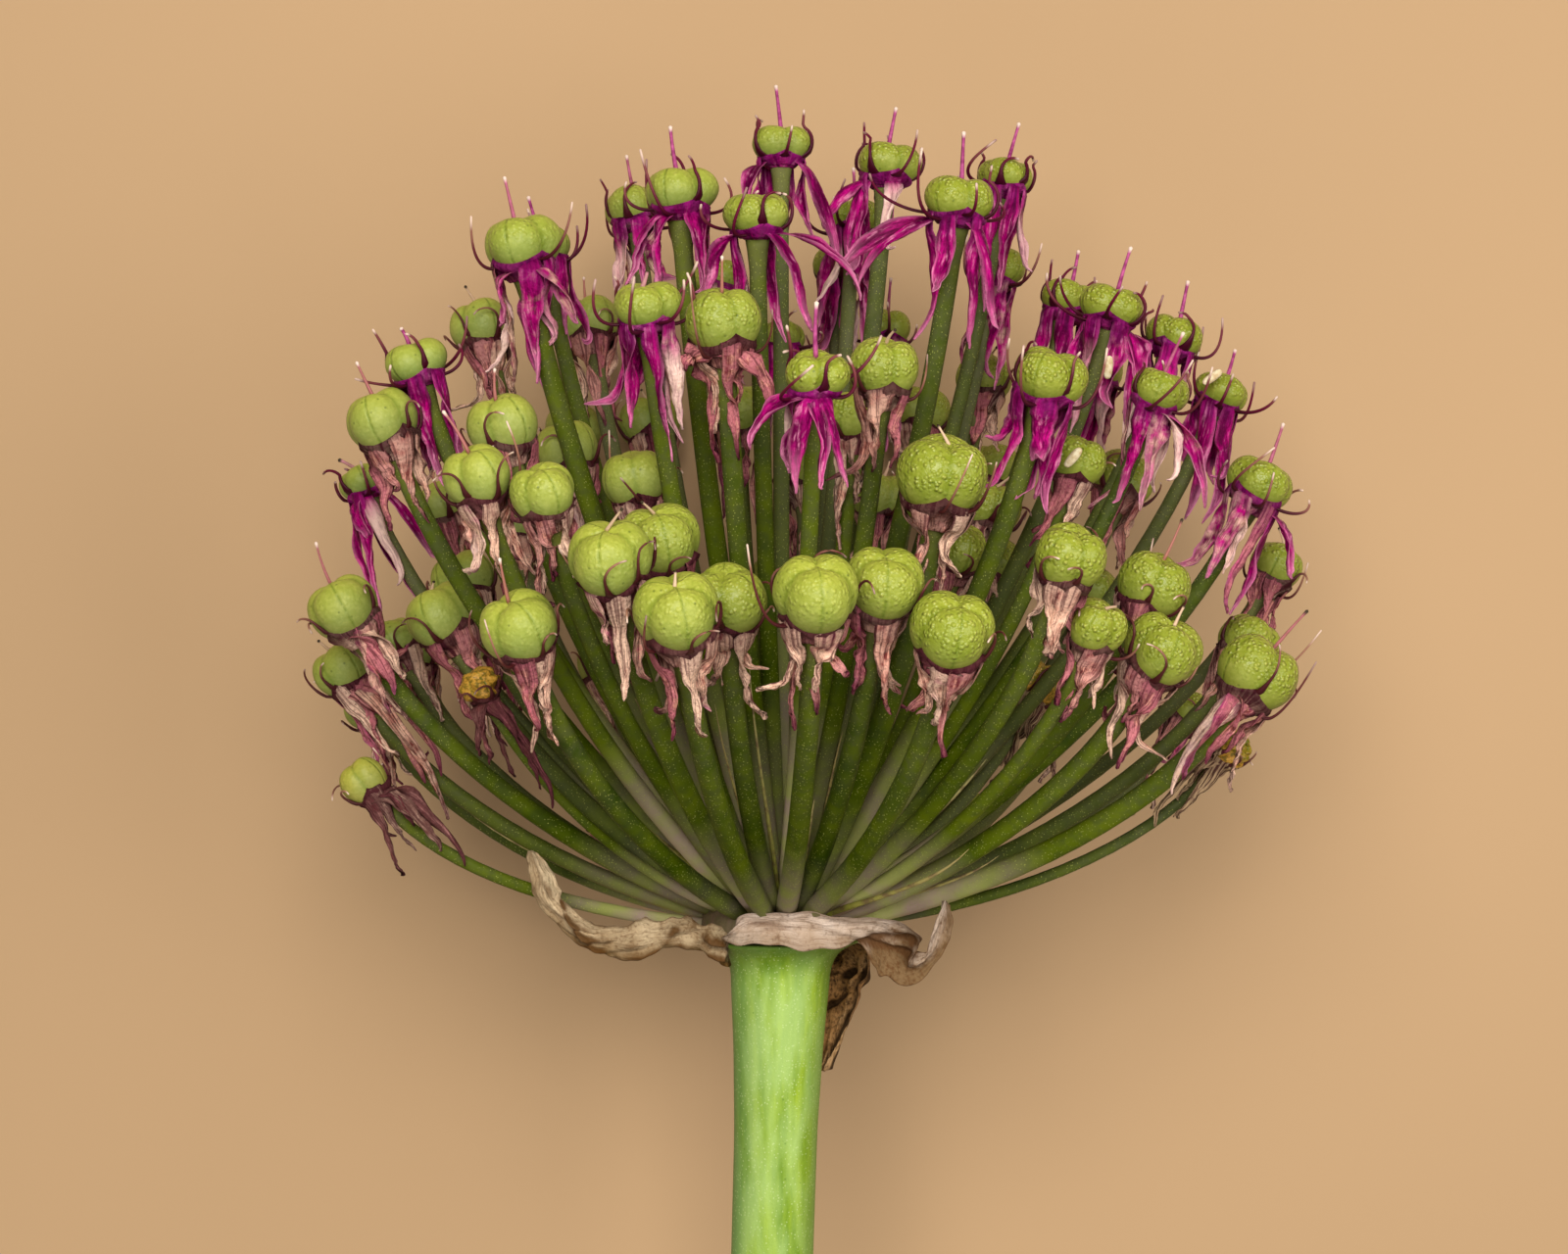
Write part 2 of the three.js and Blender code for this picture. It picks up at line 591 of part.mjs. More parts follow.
// Closed body from two like grids of points and the rim between them
function closedSheet(front, back, steps, rows) {
  const skin = new Skin();
  const top = skin.ring(front);
  const under = skin.ring(back);
  const at = (i, j) => i * (rows + 1) + j;
  for (let i = 0; i < steps; i += 1) {
    for (let j = 0; j < rows; j += 1) {
      const corners = [at(i, j), at(i + 1, j), at(i + 1, j + 1), at(i, j + 1)];
      const [a, b, c, d] = corners;
      skin.faces.push([top[a], top[b], top[c]], [top[a], top[c], top[d]]);
      skin.faces.push([under[a], under[c], under[b]], [under[a], under[d], under[c]]);
    }
  }
  const rim = [];
  for (let i = 0; i < steps; i += 1) rim.push(at(i, 0));
  for (let j = 0; j < rows; j += 1) rim.push(at(steps, j));
  for (let i = steps; i > 0; i -= 1) rim.push(at(i, rows));
  for (let j = rows; j > 0; j -= 1) rim.push(at(0, j));
  skin.wall(rim.map((k) => under[k]), rim.map((k) => top[k]));
  return skin.geometry();
}

function piece(name, geometry, material) {
  geometry.computeVertexNormals();
  const mesh = new THREE.Mesh(geometry, material);
  mesh.name = name;
  return mesh;
}

const head = new THREE.Group();
head.add(piece("scape", stalkGeometry(), STALK_GREEN));
head.add(piece("umbel", umbelGeometry(), FLORET_GREEN));
head.add(piece("spathe_left", bractGeometry(LEFT_LOBE), PAPERY_TAN));
head.add(piece("spathe_front", bractGeometry(FRONT_LOBE), PAPERY_TAN));
head.add(piece("spathe_back", bractGeometry(BACK_LOBE), PAPERY_TAN));

// The surface is at Z = 0, under the middle of the whole outline
const outline = new THREE.Box3().setFromObject(head, true);
const middle = outline.getCenter(new THREE.Vector3());
head.position.set(-middle.x, -middle.y, AXIS_HEIGHT);

const flower = new THREE.Group();
flower.add(head);

export default flower;
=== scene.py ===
import math
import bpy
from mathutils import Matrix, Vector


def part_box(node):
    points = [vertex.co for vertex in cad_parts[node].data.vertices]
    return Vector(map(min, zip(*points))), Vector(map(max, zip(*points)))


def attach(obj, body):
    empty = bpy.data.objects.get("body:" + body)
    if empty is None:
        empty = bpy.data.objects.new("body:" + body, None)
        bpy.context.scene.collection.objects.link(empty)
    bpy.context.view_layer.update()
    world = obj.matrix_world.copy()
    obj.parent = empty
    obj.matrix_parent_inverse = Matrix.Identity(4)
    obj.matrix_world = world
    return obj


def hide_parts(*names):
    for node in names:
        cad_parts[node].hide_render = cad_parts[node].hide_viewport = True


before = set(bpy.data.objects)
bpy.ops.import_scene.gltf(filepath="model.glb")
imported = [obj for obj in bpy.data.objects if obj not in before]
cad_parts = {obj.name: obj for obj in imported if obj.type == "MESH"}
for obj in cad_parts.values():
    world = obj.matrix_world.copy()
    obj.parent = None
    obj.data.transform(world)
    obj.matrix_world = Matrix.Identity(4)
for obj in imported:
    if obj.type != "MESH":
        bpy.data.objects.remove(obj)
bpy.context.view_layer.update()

from types import SimpleNamespace

import bpy
import numpy as np

# The head is worked out in millimetres: x across, y up the stalk from its top, z near, which is up
# from the stalk's axis. The scape's box says where that axis and the stalk's top lie in the frame.
MM = 0.001
STALK_TOP = -2.3
AXIS_HEIGHT = 46.0
SCAPE_LOW, SCAPE_HIGH = (np.array(corner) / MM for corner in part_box("scape"))
HEART = np.array([
    (SCAPE_LOW[0] + SCAPE_HIGH[0]) / 2,
    SCAPE_HIGH[1] - STALK_TOP,
    (SCAPE_LOW[2] + SCAPE_HIGH[2]) / 2,
])
UP = np.array([0.0, 1.0, 0.0])
NEAR = np.array([0.0, 0.0, 1.0])

# Stages of a floret
YOUNG, FADING, SET, SPENT = range(4)
DRYNESS = (0.0, 0.3, 0.85, 1.0)
DRY_UNEVEN = 0.15

# The eye that looks straight down: across, up and how far it is from the stalk's axis
EYE = SimpleNamespace(across=0.3, up=29.5, distance=320.0)

# Florets of the upper side: across, up, near, capsule width, stage, style length
SEEN_FLORETS = [
    (-26.7, 68.6, 12, 8.4, FADING, 4.6),
    (-30.4, 60.2, -15, 6.6, SET, 0),
    (-19.6, 60.5, -31, 6.6, SET, 3),
    (-37.4, 56.6, 10, 6.8, YOUNG, 2),
    (-14.9, 72.3, -18, 6.5, FADING, 4),
    (-10.5, 74.0, 10, 7.9, YOUNG, 4.6),
    (-2.5, 71.7, 16, 7.0, YOUNG, 0),
    (0.0, 78.7, -4, 6.2, YOUNG, 4.8),
    (10.8, 76.8, -6, 6.8, YOUNG, 4.3),
    (18.2, 73.2, 14, 7.6, YOUNG, 4.8),
    (22.9, 75.5, -8, 5.8, YOUNG, 4.4),
    (22.0, 66.3, -14, 5.8, FADING, 0),
    (6.1, 66.5, -26, 5.8, FADING, 0),
    (-6.3, 65.0, -28, 5.4, FADING, 0),
    (-14.0, 62.4, 28, 7.4, YOUNG, 0),
    (-5.9, 60.8, 26, 8.2, SET, 3.5),
    (3.5, 55.4, 40, 7.1, YOUNG, 5),
    (10.5, 56.0, 28, 7.4, SET, 0),
    (10.8, 60.0, -26, 5.4, FADING, 4.5),
    (20.8, 54.9, -20, 6.0, SET, 0),
    (27.2, 55.2, 26, 8.2, FADING, 0),
    (29.3, 62.9, -10, 6.2, YOUNG, 4),
    (33.9, 62.2, 3, 6.8, YOUNG, 4.6),
    (40.2, 59.2, -6, 6.4, YOUNG, 4.4),
    (38.5, 53.7, 14, 6.2, FADING, 4.5),
    (44.9, 53.4, -10, 6.0, YOUNG, 3.5),
    (48.9, 44.2, 5, 7.1, FADING, 4.6),
    (30.1, 46.5, 14, 6.2, SET, 0),
    (16.6, 45.0, 33, 9.6, SET, 0),
    (7.5, 51.0, 14, 6.2, SET, 0),
    (29.6, 36.6, 36, 7.8, SET, 0),
    (37.9, 34.0, 18, 7.7, SET, 4.3),
    (32.3, 29.5, 32, 6.4, SET, 0),
    (38.8, 27.2, 25, 8.4, SET, 0),
    (48.6, 24.9, 8, 8.6, SET, 5),
    (47.8, 27.9, -4, 6.6, SET, 3),
    (41.5, 20.8, -18, 5.4, SET, 0),
    (50.6, 35.7, -12, 5.6, SET, 0),
    (3.5, 33.0, 46, 9.2, SET, 0),
    (10.3, 34.0, 39, 8.6, SET, 0),
    (17.7, 29.1, 42, 9.0, SET, 0),
    (-10.5, 30.9, 45, 9.2, SET, 0),
    (-5.7, 32.3, 37, 8.4, SET, 0),
    (-17.3, 36.6, 41, 9.0, SET, 0),
    (-12.5, 38.3, 32, 8.6, SET, 0),
    (-14.9, 44.7, 14, 7.0, SET, 0),
    (-24.4, 43.2, 34, 7.0, SET, 0),
    (-31.1, 44.9, 32, 7.4, SET, 4.4),
    (-28.4, 50.1, 21, 7.6, SET, 3),
    (-21.7, 47.7, 0, 6.8, SET, 0),
    (-40.7, 50.6, 13, 7.6, SET, 3.7),
    (-42.7, 44.3, -8, 5.4, YOUNG, 0),
    (-44.6, 31.5, 10, 7.5, SET, 4.5),
    (-34.5, 30.7, 4, 7.8, SET, 0),
    (-32.6, 34.3, -5, 6.8, SET, 0),
    (-26.9, 29.5, 36, 8.4, SET, 4.4),
    (-44.7, 25.2, -3, 6.2, SET, 0),
    (-39.5, 27.9, -13, 5.6, SET, 0),
    (-37.7, 25.9, -24, 5.6, SET, 0),
    (-42.2, 21.3, -14, 5.0, SET, 0),
    (-42.4, 13.9, 2, 5.0, SPENT, 0),
    (-30.7, 23.5, 16, 4.0, SPENT, 0),
    (18.1, 37.5, 17, 6.4, SET, 0),
    (21.5, 41.7, 6, 6.4, SET, 0),
    (-4.5, 51.5, 3, 6.6, SET, 0),
    (10.2, 42.7, 0, 6.2, SET, 0),
    (0.0, 59.0, -24, 5.2, FADING, 0),
    (26.0, 23.6, -9, 5.6, SPENT, 0),
    (45.8, 17.2, 0, 4.4, SPENT, 0),
]

# The four florets that the head rests on: across, up, capsule width
FOOT_FLORETS = [(-20, 9, 7.8), (20, 8, 7.8), (-15, 53, 7.4), (16, 54, 7.4)]

# Petals that sweep away from their floret: its number, then where each tip lies across and up, and
# how much nearer than the floret
SWEPT_PETALS = {
    0: [(-21.0, 60.0, 2.5), (-28.0, 59.5, 2.0)],
    5: [(-7.6, 63.0, 2.0), (-12.2, 62.6, 2.5), (-15.4, 64.2, 2.0)],
    6: [(2.9, 58.7, 2.5), (8.0, 62.9, 2.0), (-7.4, 63.0, 1.5)],
    7: [(5.7, 65.8, 2.0), (-3.4, 71.0, 1.5)],
    8: [(6.7, 65.0, 2.0), (4.1, 69.6, 2.5), (10.6, 66.4, 2.0)],
    9: [(6.2, 65.1, 3.0), (7.9, 64.0, 2.5), (21.6, 59.3, 2.5)],
    15: [(-9.6, 55.9, 1.5), (-0.7, 51.0, 2.5)],
    16: [(-3.2, 47.5, 2.5), (1.5, 43.0, 2.5), (4.1, 42.6, 3.0), (6.6, 43.8, 2.5)],
    51: [(-38.2, 33.5, 2.0), (-41.9, 38.0, 2.0), (-35.6, 35.6, 2.5)],
    22: [(35.2, 48.6, 2.0), (36.6, 53.4, 2.0)],
    24: [(43.4, 41.8, 2.0), (40.0, 43.6, 2.5)],
    26: [(43.8, 34.0, 1.5), (51.6, 33.6, 1.0)],
    34: [(41.0, 13.5, 1.0), (43.5, 15.5, 1.5), (39.8, 12.2, 0.5)],
    52: [(-38.2, 23.8, 1.5), (-39.5, 22.5, 1.0)],
    56: [(-34.6, 14.2, 3.0), (-34.0, 10.0, 2.5), (-36.5, 13.0, 2.0)],
    68: [(36.0, 10.0, 1.0), (37.8, 9.2, 1.5), (40.5, 11.5, 1.0)],
    60: [(-32.1, 5.0, 1.0), (-34.6, 6.2, 2.0), (-37.4, 9.4, 2.0)],
    61: [(-30.7, 16.4, 1.5), (-29.4, 15.4, 2.0), (-24.7, 12.8, 1.5), (-23.2, 11.1, 1.0)],
}

# Florets of the underside, spread evenly over the head's globe by the golden angle: how far they keep from
# the surface and from each other, and from which share of the globe's height they are fading and young
GLOBE = SimpleNamespace(middle=(0.5, 33.0, 0.0), radius=45.0, uneven=2.5, turns=260, lowest=-0.27)
UNDERSIDE_FROM = -4.0
CLEAR_OF_SURFACE = 2.6
FLORET_SPACING = 10.8
PEDICEL_SPACING = 6.0
GOLDEN_ANGLE = math.pi * (3 - math.sqrt(5))
UNDERSIDE_WIDTH = SimpleNamespace(top=6.4, wider_below=0.8, uneven=0.5)
FADING_ABOVE = 0.45
YOUNG_ABOVE = 0.75
UNDERSIDE_STYLE = 4

# Florets whose capsule has dried to an orange lump, those whose petals have turned to straw, and how ripe
# a dried lump and the capsules of each stage are
SHRIVELLED = (61, 67, 68)
STRAW_FLORETS = (67, 68)
RIPE_LUMP = 1.6
RIPENESS = (0.0, 0.05, 0.12, 0.3)

# Anthers that still hang from a floret: its number, where they lie across and up, how much nearer than the
# floret, and how many degrees they lean to the right
ANTHERS = [
    (22, 33.4, 56.0, 4.0, 5),
    (21, 31.2, 57.0, 4.5, -35),
    (24, 29.8, 46.8, 4.0, 40),
    (25, 44.0, 55.0, 4.5, 55),
]
ANTHER_LENGTH = 2.3
ANTHER_RADIUS = 0.46
ANTHER_THREAD = 0.11
ANTHER_SIDES = 12

# Receptacle dome, how far pedicels spread from it and turn up under their capsules, and how far the two
# ends of a pedicel's curve keep their headings
DOME = SimpleNamespace(radius=8.2, rise=5.6, up=-1.0, underside=-2.0)
DOME_RINGS = 14
DOME_SIDES = 48
SEAT_SPREAD = 1.25
SEAT_LIMIT = 88.0
LEAVE_SPREAD = 1.28
LEAVE_LIMIT = 84.0
ROOT_DEPTH = 1.2
UPTURN = 0.45
SEAT_PULL = 0.33
NECK_PULL = 0.3

# Capsules: their height, grooves and dimple in shares of their width or height, one for each stage, then
# how square they are, how much narrower below, how lumpy, how lopsided and how far the grooves' tops sag
CAPSULE_HEIGHT = (0.66, 0.72, 0.86, 0.95)
GROOVE_DEPTH = (0.21, 0.20, 0.16, 0.16)
GROOVE_UNEVEN = 0.35
DIMPLE_DEPTH = (0.12, 0.11, 0.08, 0.06)
DIMPLE_WIDTH = 0.42
SQUARENESS = 0.7
NARROWER_BELOW = 0.1
LUMPS = 0.03
SHRIVELLED_LUMPS = 0.3
LOPSIDED = 0.07
GROOVE_SAG = 0.09
CAPSULE_SIDES = 42
CAPSULE_RINGS = 20

# Pedicels: thickness in capsule radii, how that changes up to the neck, and the flare there and its height
PEDICEL = SimpleNamespace(thickness=0.26, start=1.08, taper=0.12, flare=0.5, flare_height=1.7)
RIDGES = 0.05
RIDGES_UNEVEN = 0.03
PEDICEL_STEPS = 18
PEDICEL_SIDES = 12

# Petals: a length for each stage, least and greatest half width, narrower where a capsule's radius falls
# short of the one for full width, and the cups that they hang from
PETAL_LENGTH = (11.0, 9.6, 8.2, 7.6)
PETAL_HALF_WIDTH = (1.1, 1.6)
FULL_WIDTH_RADIUS = 3.4
STRAY_PETALS = 0.2
PETAL_STEPS = 23
PETAL_COLUMNS = 7
PETAL_THICKNESS = 0.12
EDGE_THINNING = 0.7
CUP_SIDES = 30
CUP_RINGS = 13

# How a fresh petal lies, is bent and is crumpled, each followed by how much more of it a dry one has
PETAL = SimpleNamespace(
    aside=(0.12, 0.2), shortest=(0.7, -0.1), longest=(1.25, 0.1), wander=(0.16, 0.08), shake=(0.07, 0.04),
    hook=(2.6, -1.5), twist=(0.9, 0.8), wave=(0.2, 0.5), width=(1, -0.3), swept_width=(1, 0.35),
    root=(-0.25, 0.85), taper=(2.8, -1.3), ragged=(0.14, 0.2), least_curl=(0.8, -0.4), most_curl=(2.3, -0.7),
    ruffle=(0.10, 0.08), small_ruffle=(0.10, 0.11), pleats=(0, 0.16),
)

# Filaments: the thread and the thorn at its foot, both narrower on a dry floret, then which share of a dry
# floret's filaments have fallen, and which share stand open at each stage
THREAD = SimpleNamespace(width=0.23, taper=0.10, dry=0.05, thickness=0.18)
THORN = SimpleNamespace(width=0.55, dry=0.15, length=0.4)
THREAD_END = 0.12
FALLEN_SHARE = 0.5
OPEN_SHARE = (0.6, 0.6, 0.14, 0.14)
FILAMENT_STEPS = 17
FILAMENT_SIDES = 6

# Styles, the stub that is left of one on other capsules, and dry stems
STYLE = SimpleNamespace(radius=0.25, dry=0.06, taper=0.11, knob=0.1, lean=0.12, bend=0.35)
STUB = SimpleNamespace(missing=0.45, length=(1.0, 3.0), lean=0.9)
STYLE_STEPS = 9
DRY_STEM = SimpleNamespace(tilt=(30, 76), shortest=3, longer=27, sag=0.12, lift=0.12, radius=(0.25, 0.5))
DRY_STEMS = 44
DRY_STEM_STEPS = 14

# The head's parts round the stalk, which its pieces are named for
CROWN_TILT = 27.0
SECTORS = ("right", "upper_right", "upper", "upper_left", "left", "under_left", "under", "under_right")
SECTOR = 360 / len(SECTORS)

# Uses of the ripple, so that each trait of a floret varies on its own
TWIST, DRYING, CAPSULE_TONE, PEDICEL_TONE, GREYING, WETTING = 50, 60, 61, 63, 64, 65
CUP_TONE, CUP_DEPTH, GROOVING = 66, 67, 68


def ripple(number, use=0):
    """Repeatable noise between -1 and 1: half the sum of two sines of a floret's number and a use."""
    return 0.5 * (math.sin(12.9898 * number + 3.7 * use) + math.sin(78.233 * number + 1.3 * use))


def tone_of(floret, use):
    """The tone of one of a floret's parts, between 0 and 1."""
    return 0.5 + 0.5 * ripple(floret.number, use)


def unit(vector):
    """The vector, or each row of vectors, divided by its length."""
    return vector / np.linalg.norm(vector, axis=-1, keepdims=True)


def full_circle(sides):
    """Turns spread evenly over a circle."""
    return np.linspace(0, 2 * math.pi, sides, endpoint=False)


def wobble(seed, *coordinates, waves=4):
    """Smooth noise over arrays: the mean of a few sines of random mixes of the coordinates."""
    draw = np.random.default_rng(seed)
    total = 0.0
    for _ in range(waves):
        phase = draw.uniform(0, 2 * math.pi)
        for coordinate in coordinates:
            phase = phase + draw.uniform(-1, 1) * 2 * math.pi * coordinate
        total = total + np.sin(phase)
    return total / waves


def next_wobble(draw, *coordinates):
    """A wobble whose seed is the next draw."""
    return wobble(draw.integers(1 << 30), *coordinates)


# Where the florets stand

def seen_floret(across, up, near, width, stage, style):
    """True place of a floret seen from above: its offset from the eye's line shrinks as it comes nearer."""
    shrink = (EYE.distance - near) / EYE.distance
    place = np.array([
        EYE.across + (across - EYE.across) * shrink,
        EYE.up + (up - EYE.up) * shrink,
        near,
    ])
    return SimpleNamespace(place=place, width=width * shrink, stage=stage, style=style, foot=False)


def foot_floret(across, up, width):
    """A floret whose capsule touches the surface."""
    place = np.array([across, up, width / 2 - AXIS_HEIGHT])
    return SimpleNamespace(place=place, width=width, stage=SET, style=0, foot=True)


def pedicel_gap(point, capsule):
    """Distance from a point to the straight line between the receptacle and a capsule."""
    heart = np.array([0.0, DOME.up, 0.0])
    line = capsule - heart
    along = np.clip(np.dot(point - heart, line) / np.dot(line, line), 0, 1)
    return np.linalg.norm(heart + line * along - point)


def underside_floret(number, others):
    """A floret on a spiral that climbs the globe by equal heights, or None where one already stands."""
    up = 1 - 2 * (number + 0.5) / GLOBE.turns
    out = math.sqrt(1 - up * up)
    turn = number * GOLDEN_ANGLE
    uneven = ripple(number)
    width = UNDERSIDE_WIDTH.top + UNDERSIDE_WIDTH.wider_below * (1 - up) + UNDERSIDE_WIDTH.uneven * uneven
    reach = GLOBE.radius + GLOBE.uneven * uneven
    heading = np.array([out * math.cos(turn), up, out * math.sin(turn)])
    place = np.array(GLOBE.middle) + reach * heading
    if up < GLOBE.lowest or place[2] > UNDERSIDE_FROM:
        return None
    place[2] = max(place[2], width / 2 + CLEAR_OF_SURFACE - AXIS_HEIGHT)
    if min(np.linalg.norm(place - other.place) for other in others) < FLORET_SPACING:
        return None
    if min(pedicel_gap(place, other.place) for other in others) < PEDICEL_SPACING:
        return None
    stage = YOUNG if up > YOUNG_ABOVE else FADING if up > FADING_ABOVE else SET
    style = 0 if stage == SET else UNDERSIDE_STYLE
    return SimpleNamespace(place=place, width=width, stage=stage, style=style, foot=False)


def tilted(place, degrees):
    """Direction at an angle from the stalk's axis, turned round it like a place."""
    tilt = math.radians(degrees)
    turn = math.atan2(place[2], place[0])
    return np.array([math.sin(tilt) * math.cos(turn), math.cos(tilt), math.sin(tilt) * math.sin(turn)])


def on_dome(way):
    """Where a direction from the stalk's axis meets the receptacle's dome."""
    return way * (DOME.radius, DOME.rise, DOME.radius) + UP * DOME.up


def grow(floret, number):
    """Adds a floret's axis, its three directions and the four points of its pedicel's curve."""
    chord = unit(floret.place - np.array([0.0, DOME.up, 0.0]))
    tilt = math.degrees(math.acos(chord[1]))
    floret.number = number
    floret.axis = unit(chord * (1 - UPTURN) + UP * UPTURN)
    floret.height = floret.width * CAPSULE_HEIGHT[floret.stage]
    floret.radius = floret.width / 2
    floret.groove = GROOVE_DEPTH[floret.stage] * (1 + GROOVE_UNEVEN * ripple(number, GROOVING))
    seat = on_dome(tilted(floret.place, min(SEAT_LIMIT, tilt * SEAT_SPREAD)))
    leave = tilted(floret.place, min(LEAVE_LIMIT, tilt * LEAVE_SPREAD))
    neck = floret.place - floret.axis * floret.height * 0.5
    reach = np.linalg.norm(neck - seat)
    floret.curve = np.array([
        seat - leave * ROOT_DEPTH,
        seat + leave * reach * SEAT_PULL,
        neck - floret.axis * reach * NECK_PULL,
        neck,
    ])
    floret.stem_length = np.linalg.norm(floret.curve[3] - floret.curve[0])
    facing = -NEAR if floret.foot else NEAR
    side = unit(facing - np.dot(facing, floret.axis) * floret.axis)
    twist = 0 if floret.foot else math.pi * ripple(number, TWIST)
    cross = np.cross(floret.axis, side)
    floret.side = side * math.cos(twist) + cross * math.sin(twist)
    floret.cross = np.cross(floret.axis, floret.side)
    floret.dry = np.clip(DRYNESS[floret.stage] + DRY_UNEVEN * ripple(number, DRYING), 0, 1)
    turn = math.degrees(math.atan2(floret.place[2], floret.place[0]))
    floret.sector = "crown" if tilt < CROWN_TILT else SECTORS[int((turn + SECTOR / 2) % 360 // SECTOR)]
    return floret


def all_florets():
    """The seen florets, the feet and the underside's florets, numbered in that order."""
    florets = [seen_floret(*row) for row in SEEN_FLORETS] + [foot_floret(*row) for row in FOOT_FLORETS]
    for number in range(GLOBE.turns):
        floret = underside_floret(number, florets)
        if floret:
            florets.append(floret)
    return [grow(floret, number) for number, floret in enumerate(florets)]


# Skins made of rings

class Skin:
    """Closed surfaces collected into one mesh, each a stack of rings with a point at either end."""

    def __init__(self):
        self.points = []
        self.corners = []
        self.sizes = []
        self.traits = {}
        self.count = 0

    def add(self, rings, start, end, **traits):
        """Joins each ring to the next by quads, and the first and last ring to the end points by fans."""
        steps, sides, _ = rings.shape
        near = np.arange(steps * sides).reshape(steps, sides) + self.count
        after = np.roll(near, -1, axis=1)
        walls = np.stack([near[:-1], after[:-1], after[1:], near[1:]], axis=-1).reshape(-1, 4)
        first = self.count + steps * sides
        floor = np.stack([after[0], near[0], np.full(sides, first)], axis=-1)
        roof = np.stack([near[-1], after[-1], np.full(sides, first + 1)], axis=-1)
        self.points.append(np.concatenate([rings.reshape(-1, 3), [start, end]]))
        self.corners += [walls.ravel(), floor.ravel(), roof.ravel()]
        self.sizes += [np.full(len(walls), 4), np.full(2 * sides, 3)]
        for name, values in traits.items():
            spread = np.broadcast_to(values, (steps, sides))
            ends = [spread[0].mean(), spread[-1].mean()]
            self.traits.setdefault(name, []).append(np.concatenate([spread.ravel(), ends]))
        self.count += steps * sides + 2

    def piece(self, name, material, slot, *nodes):
        """Makes the mesh, lays what would dip below the surface flat on it, and gives it its finish."""
        points = np.concatenate(self.points)
        points[:, 2] = np.maximum(points[:, 2], -AXIS_HEIGHT)
        corners = np.concatenate(self.corners)
        sizes = np.concatenate(self.sizes)
        mesh = bpy.data.meshes.new(name)
        mesh.vertices.add(len(points))
        mesh.vertices.foreach_set("co", ((points + HEART) * MM).ravel())
        mesh.loops.add(len(corners))
        mesh.loops.foreach_set("vertex_index", corners)
        mesh.polygons.add(len(sizes))
        mesh.polygons.foreach_set("loop_start", np.concatenate([[0], np.cumsum(sizes)[:-1]]))
        mesh.polygons.foreach_set("loop_total", sizes)
        for trait, values in self.traits.items():
            layer = mesh.attributes.new(trait, "FLOAT", "POINT")
            layer.data.foreach_set("value", np.concatenate(values).astype(np.float32))
        mesh.update(calc_edges=True)
        mesh.polygons.foreach_set("use_smooth", np.ones(len(sizes), bool))
        mesh.materials.append(material)
        piece = bpy.data.objects.new(name, mesh)
        bpy.context.scene.collection.objects.link(piece)
        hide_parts(*nodes)
        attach(piece, "root")
        return piece


def bezier(points, along):
    """Points and headings of a cubic curve through its first and last control point."""
    t = along[:, None]
    a, b, c, d = points
    place = (1 - t) ** 3 * a + 3 * (1 - t) ** 2 * t * b + 3 * (1 - t) * t ** 2 * c + t ** 3 * d
    heading = (1 - t) ** 2 * (b - a) + 2 * (1 - t) * t * (c - b) + t ** 2 * (d - c)
    return place, unit(heading)


def through(points, along):
    """A curve through points: cubic between each two, its slope set by their neighbours."""
    points = np.array(points, float)
    padded = np.concatenate([[2 * points[0] - points[1]], points, [2 * points[-1] - points[-2]]])
    at = along * (len(points) - 1)
    i = np.minimum(at.astype(int), len(points) - 2)
    t = (at - i)[:, None]
    a, b, c, d = (padded[i + k] for k in range(4))
    square = 2 * a - 5 * b + 4 * c - d
    cube = 3 * b - a - 3 * c + d
    return 0.5 * (2 * b + (c - a) * t + square * t ** 2 + cube * t ** 3)


def framed(heading, side):
    """Two directions across each heading: a given side made square to it, and their cross product."""
    across = unit(side - (heading * side).sum(-1, keepdims=True) * heading)
    return across, np.cross(heading, across)


def tube(place, heading, side, radius, turns):
    """Rings round a path: each turn's point is the radius times its cosine across and its sine up."""
    across, cross = framed(heading, side)
    radius = np.broadcast_to(np.asarray(radius, float), (len(place), len(turns)))[..., None]
    ring = np.cos(turns)[:, None] * across[:, None] + np.sin(turns)[:, None] * cross[:, None]
    return place[:, None] + radius * ring


def strap(place, across, normal, half_width, bend, ruffle, thickness, columns):
    """Rings of a thin gutter: out along one face and back along the other, half the thickness either side.

    A column's angle is its share of the bend. It lies that angle's sine across the path, and one less its
    cosine along the normal, times the half width over the bend, and a ruffle raises it further.
    """
    share = np.linspace(-1, 1, columns)
    angle = share * bend[:, None]
    span = share * half_width[:, None]
    aside = (span * np.sinc(angle / math.pi))[..., None] * across[:, None]
    raised = (span * np.sin(angle / 2) * np.sinc(angle / 2 / math.pi) + ruffle)[..., None] * normal[:, None]
    facing = np.cos(angle)[..., None] * normal[:, None] - np.sin(angle)[..., None] * across[:, None]
    sheet = place[:, None] + aside + raised
    thin = (thickness / 2) * (1 - EDGE_THINNING * share ** 6)[:, None] * facing
    return np.concatenate([sheet - thin, (sheet + thin)[:, ::-1]], axis=1)


def there_and_back(values):
    """A value for each point of a strap's ring, from its value for each column."""
    return np.concatenate([values, values[..., ::-1]], axis=-1)


# The florets' own shapes

def furrow(turn):
    """One in the grooves between a capsule's three lobes, falling to nought at the middle of each lobe."""
    return 1 - np.abs(np.cos(1.5 * turn)) ** 0.75


def capsule_reach(floret, turn, rise):
    """A capsule's radius at a turn and at a rise, from -0.5 at its base to 0.5 at its top."""
    waist = np.clip(1 - (2 * rise) ** 2, 0, 1) ** 0.36
    return floret.radius * waist * (1 - floret.groove * furrow(turn))


def hem(turn):
    """Rise at which a cup's ring hugs its capsule: low under the lobes and higher in the grooves."""
    return -0.37 + 0.15 * furrow(turn)


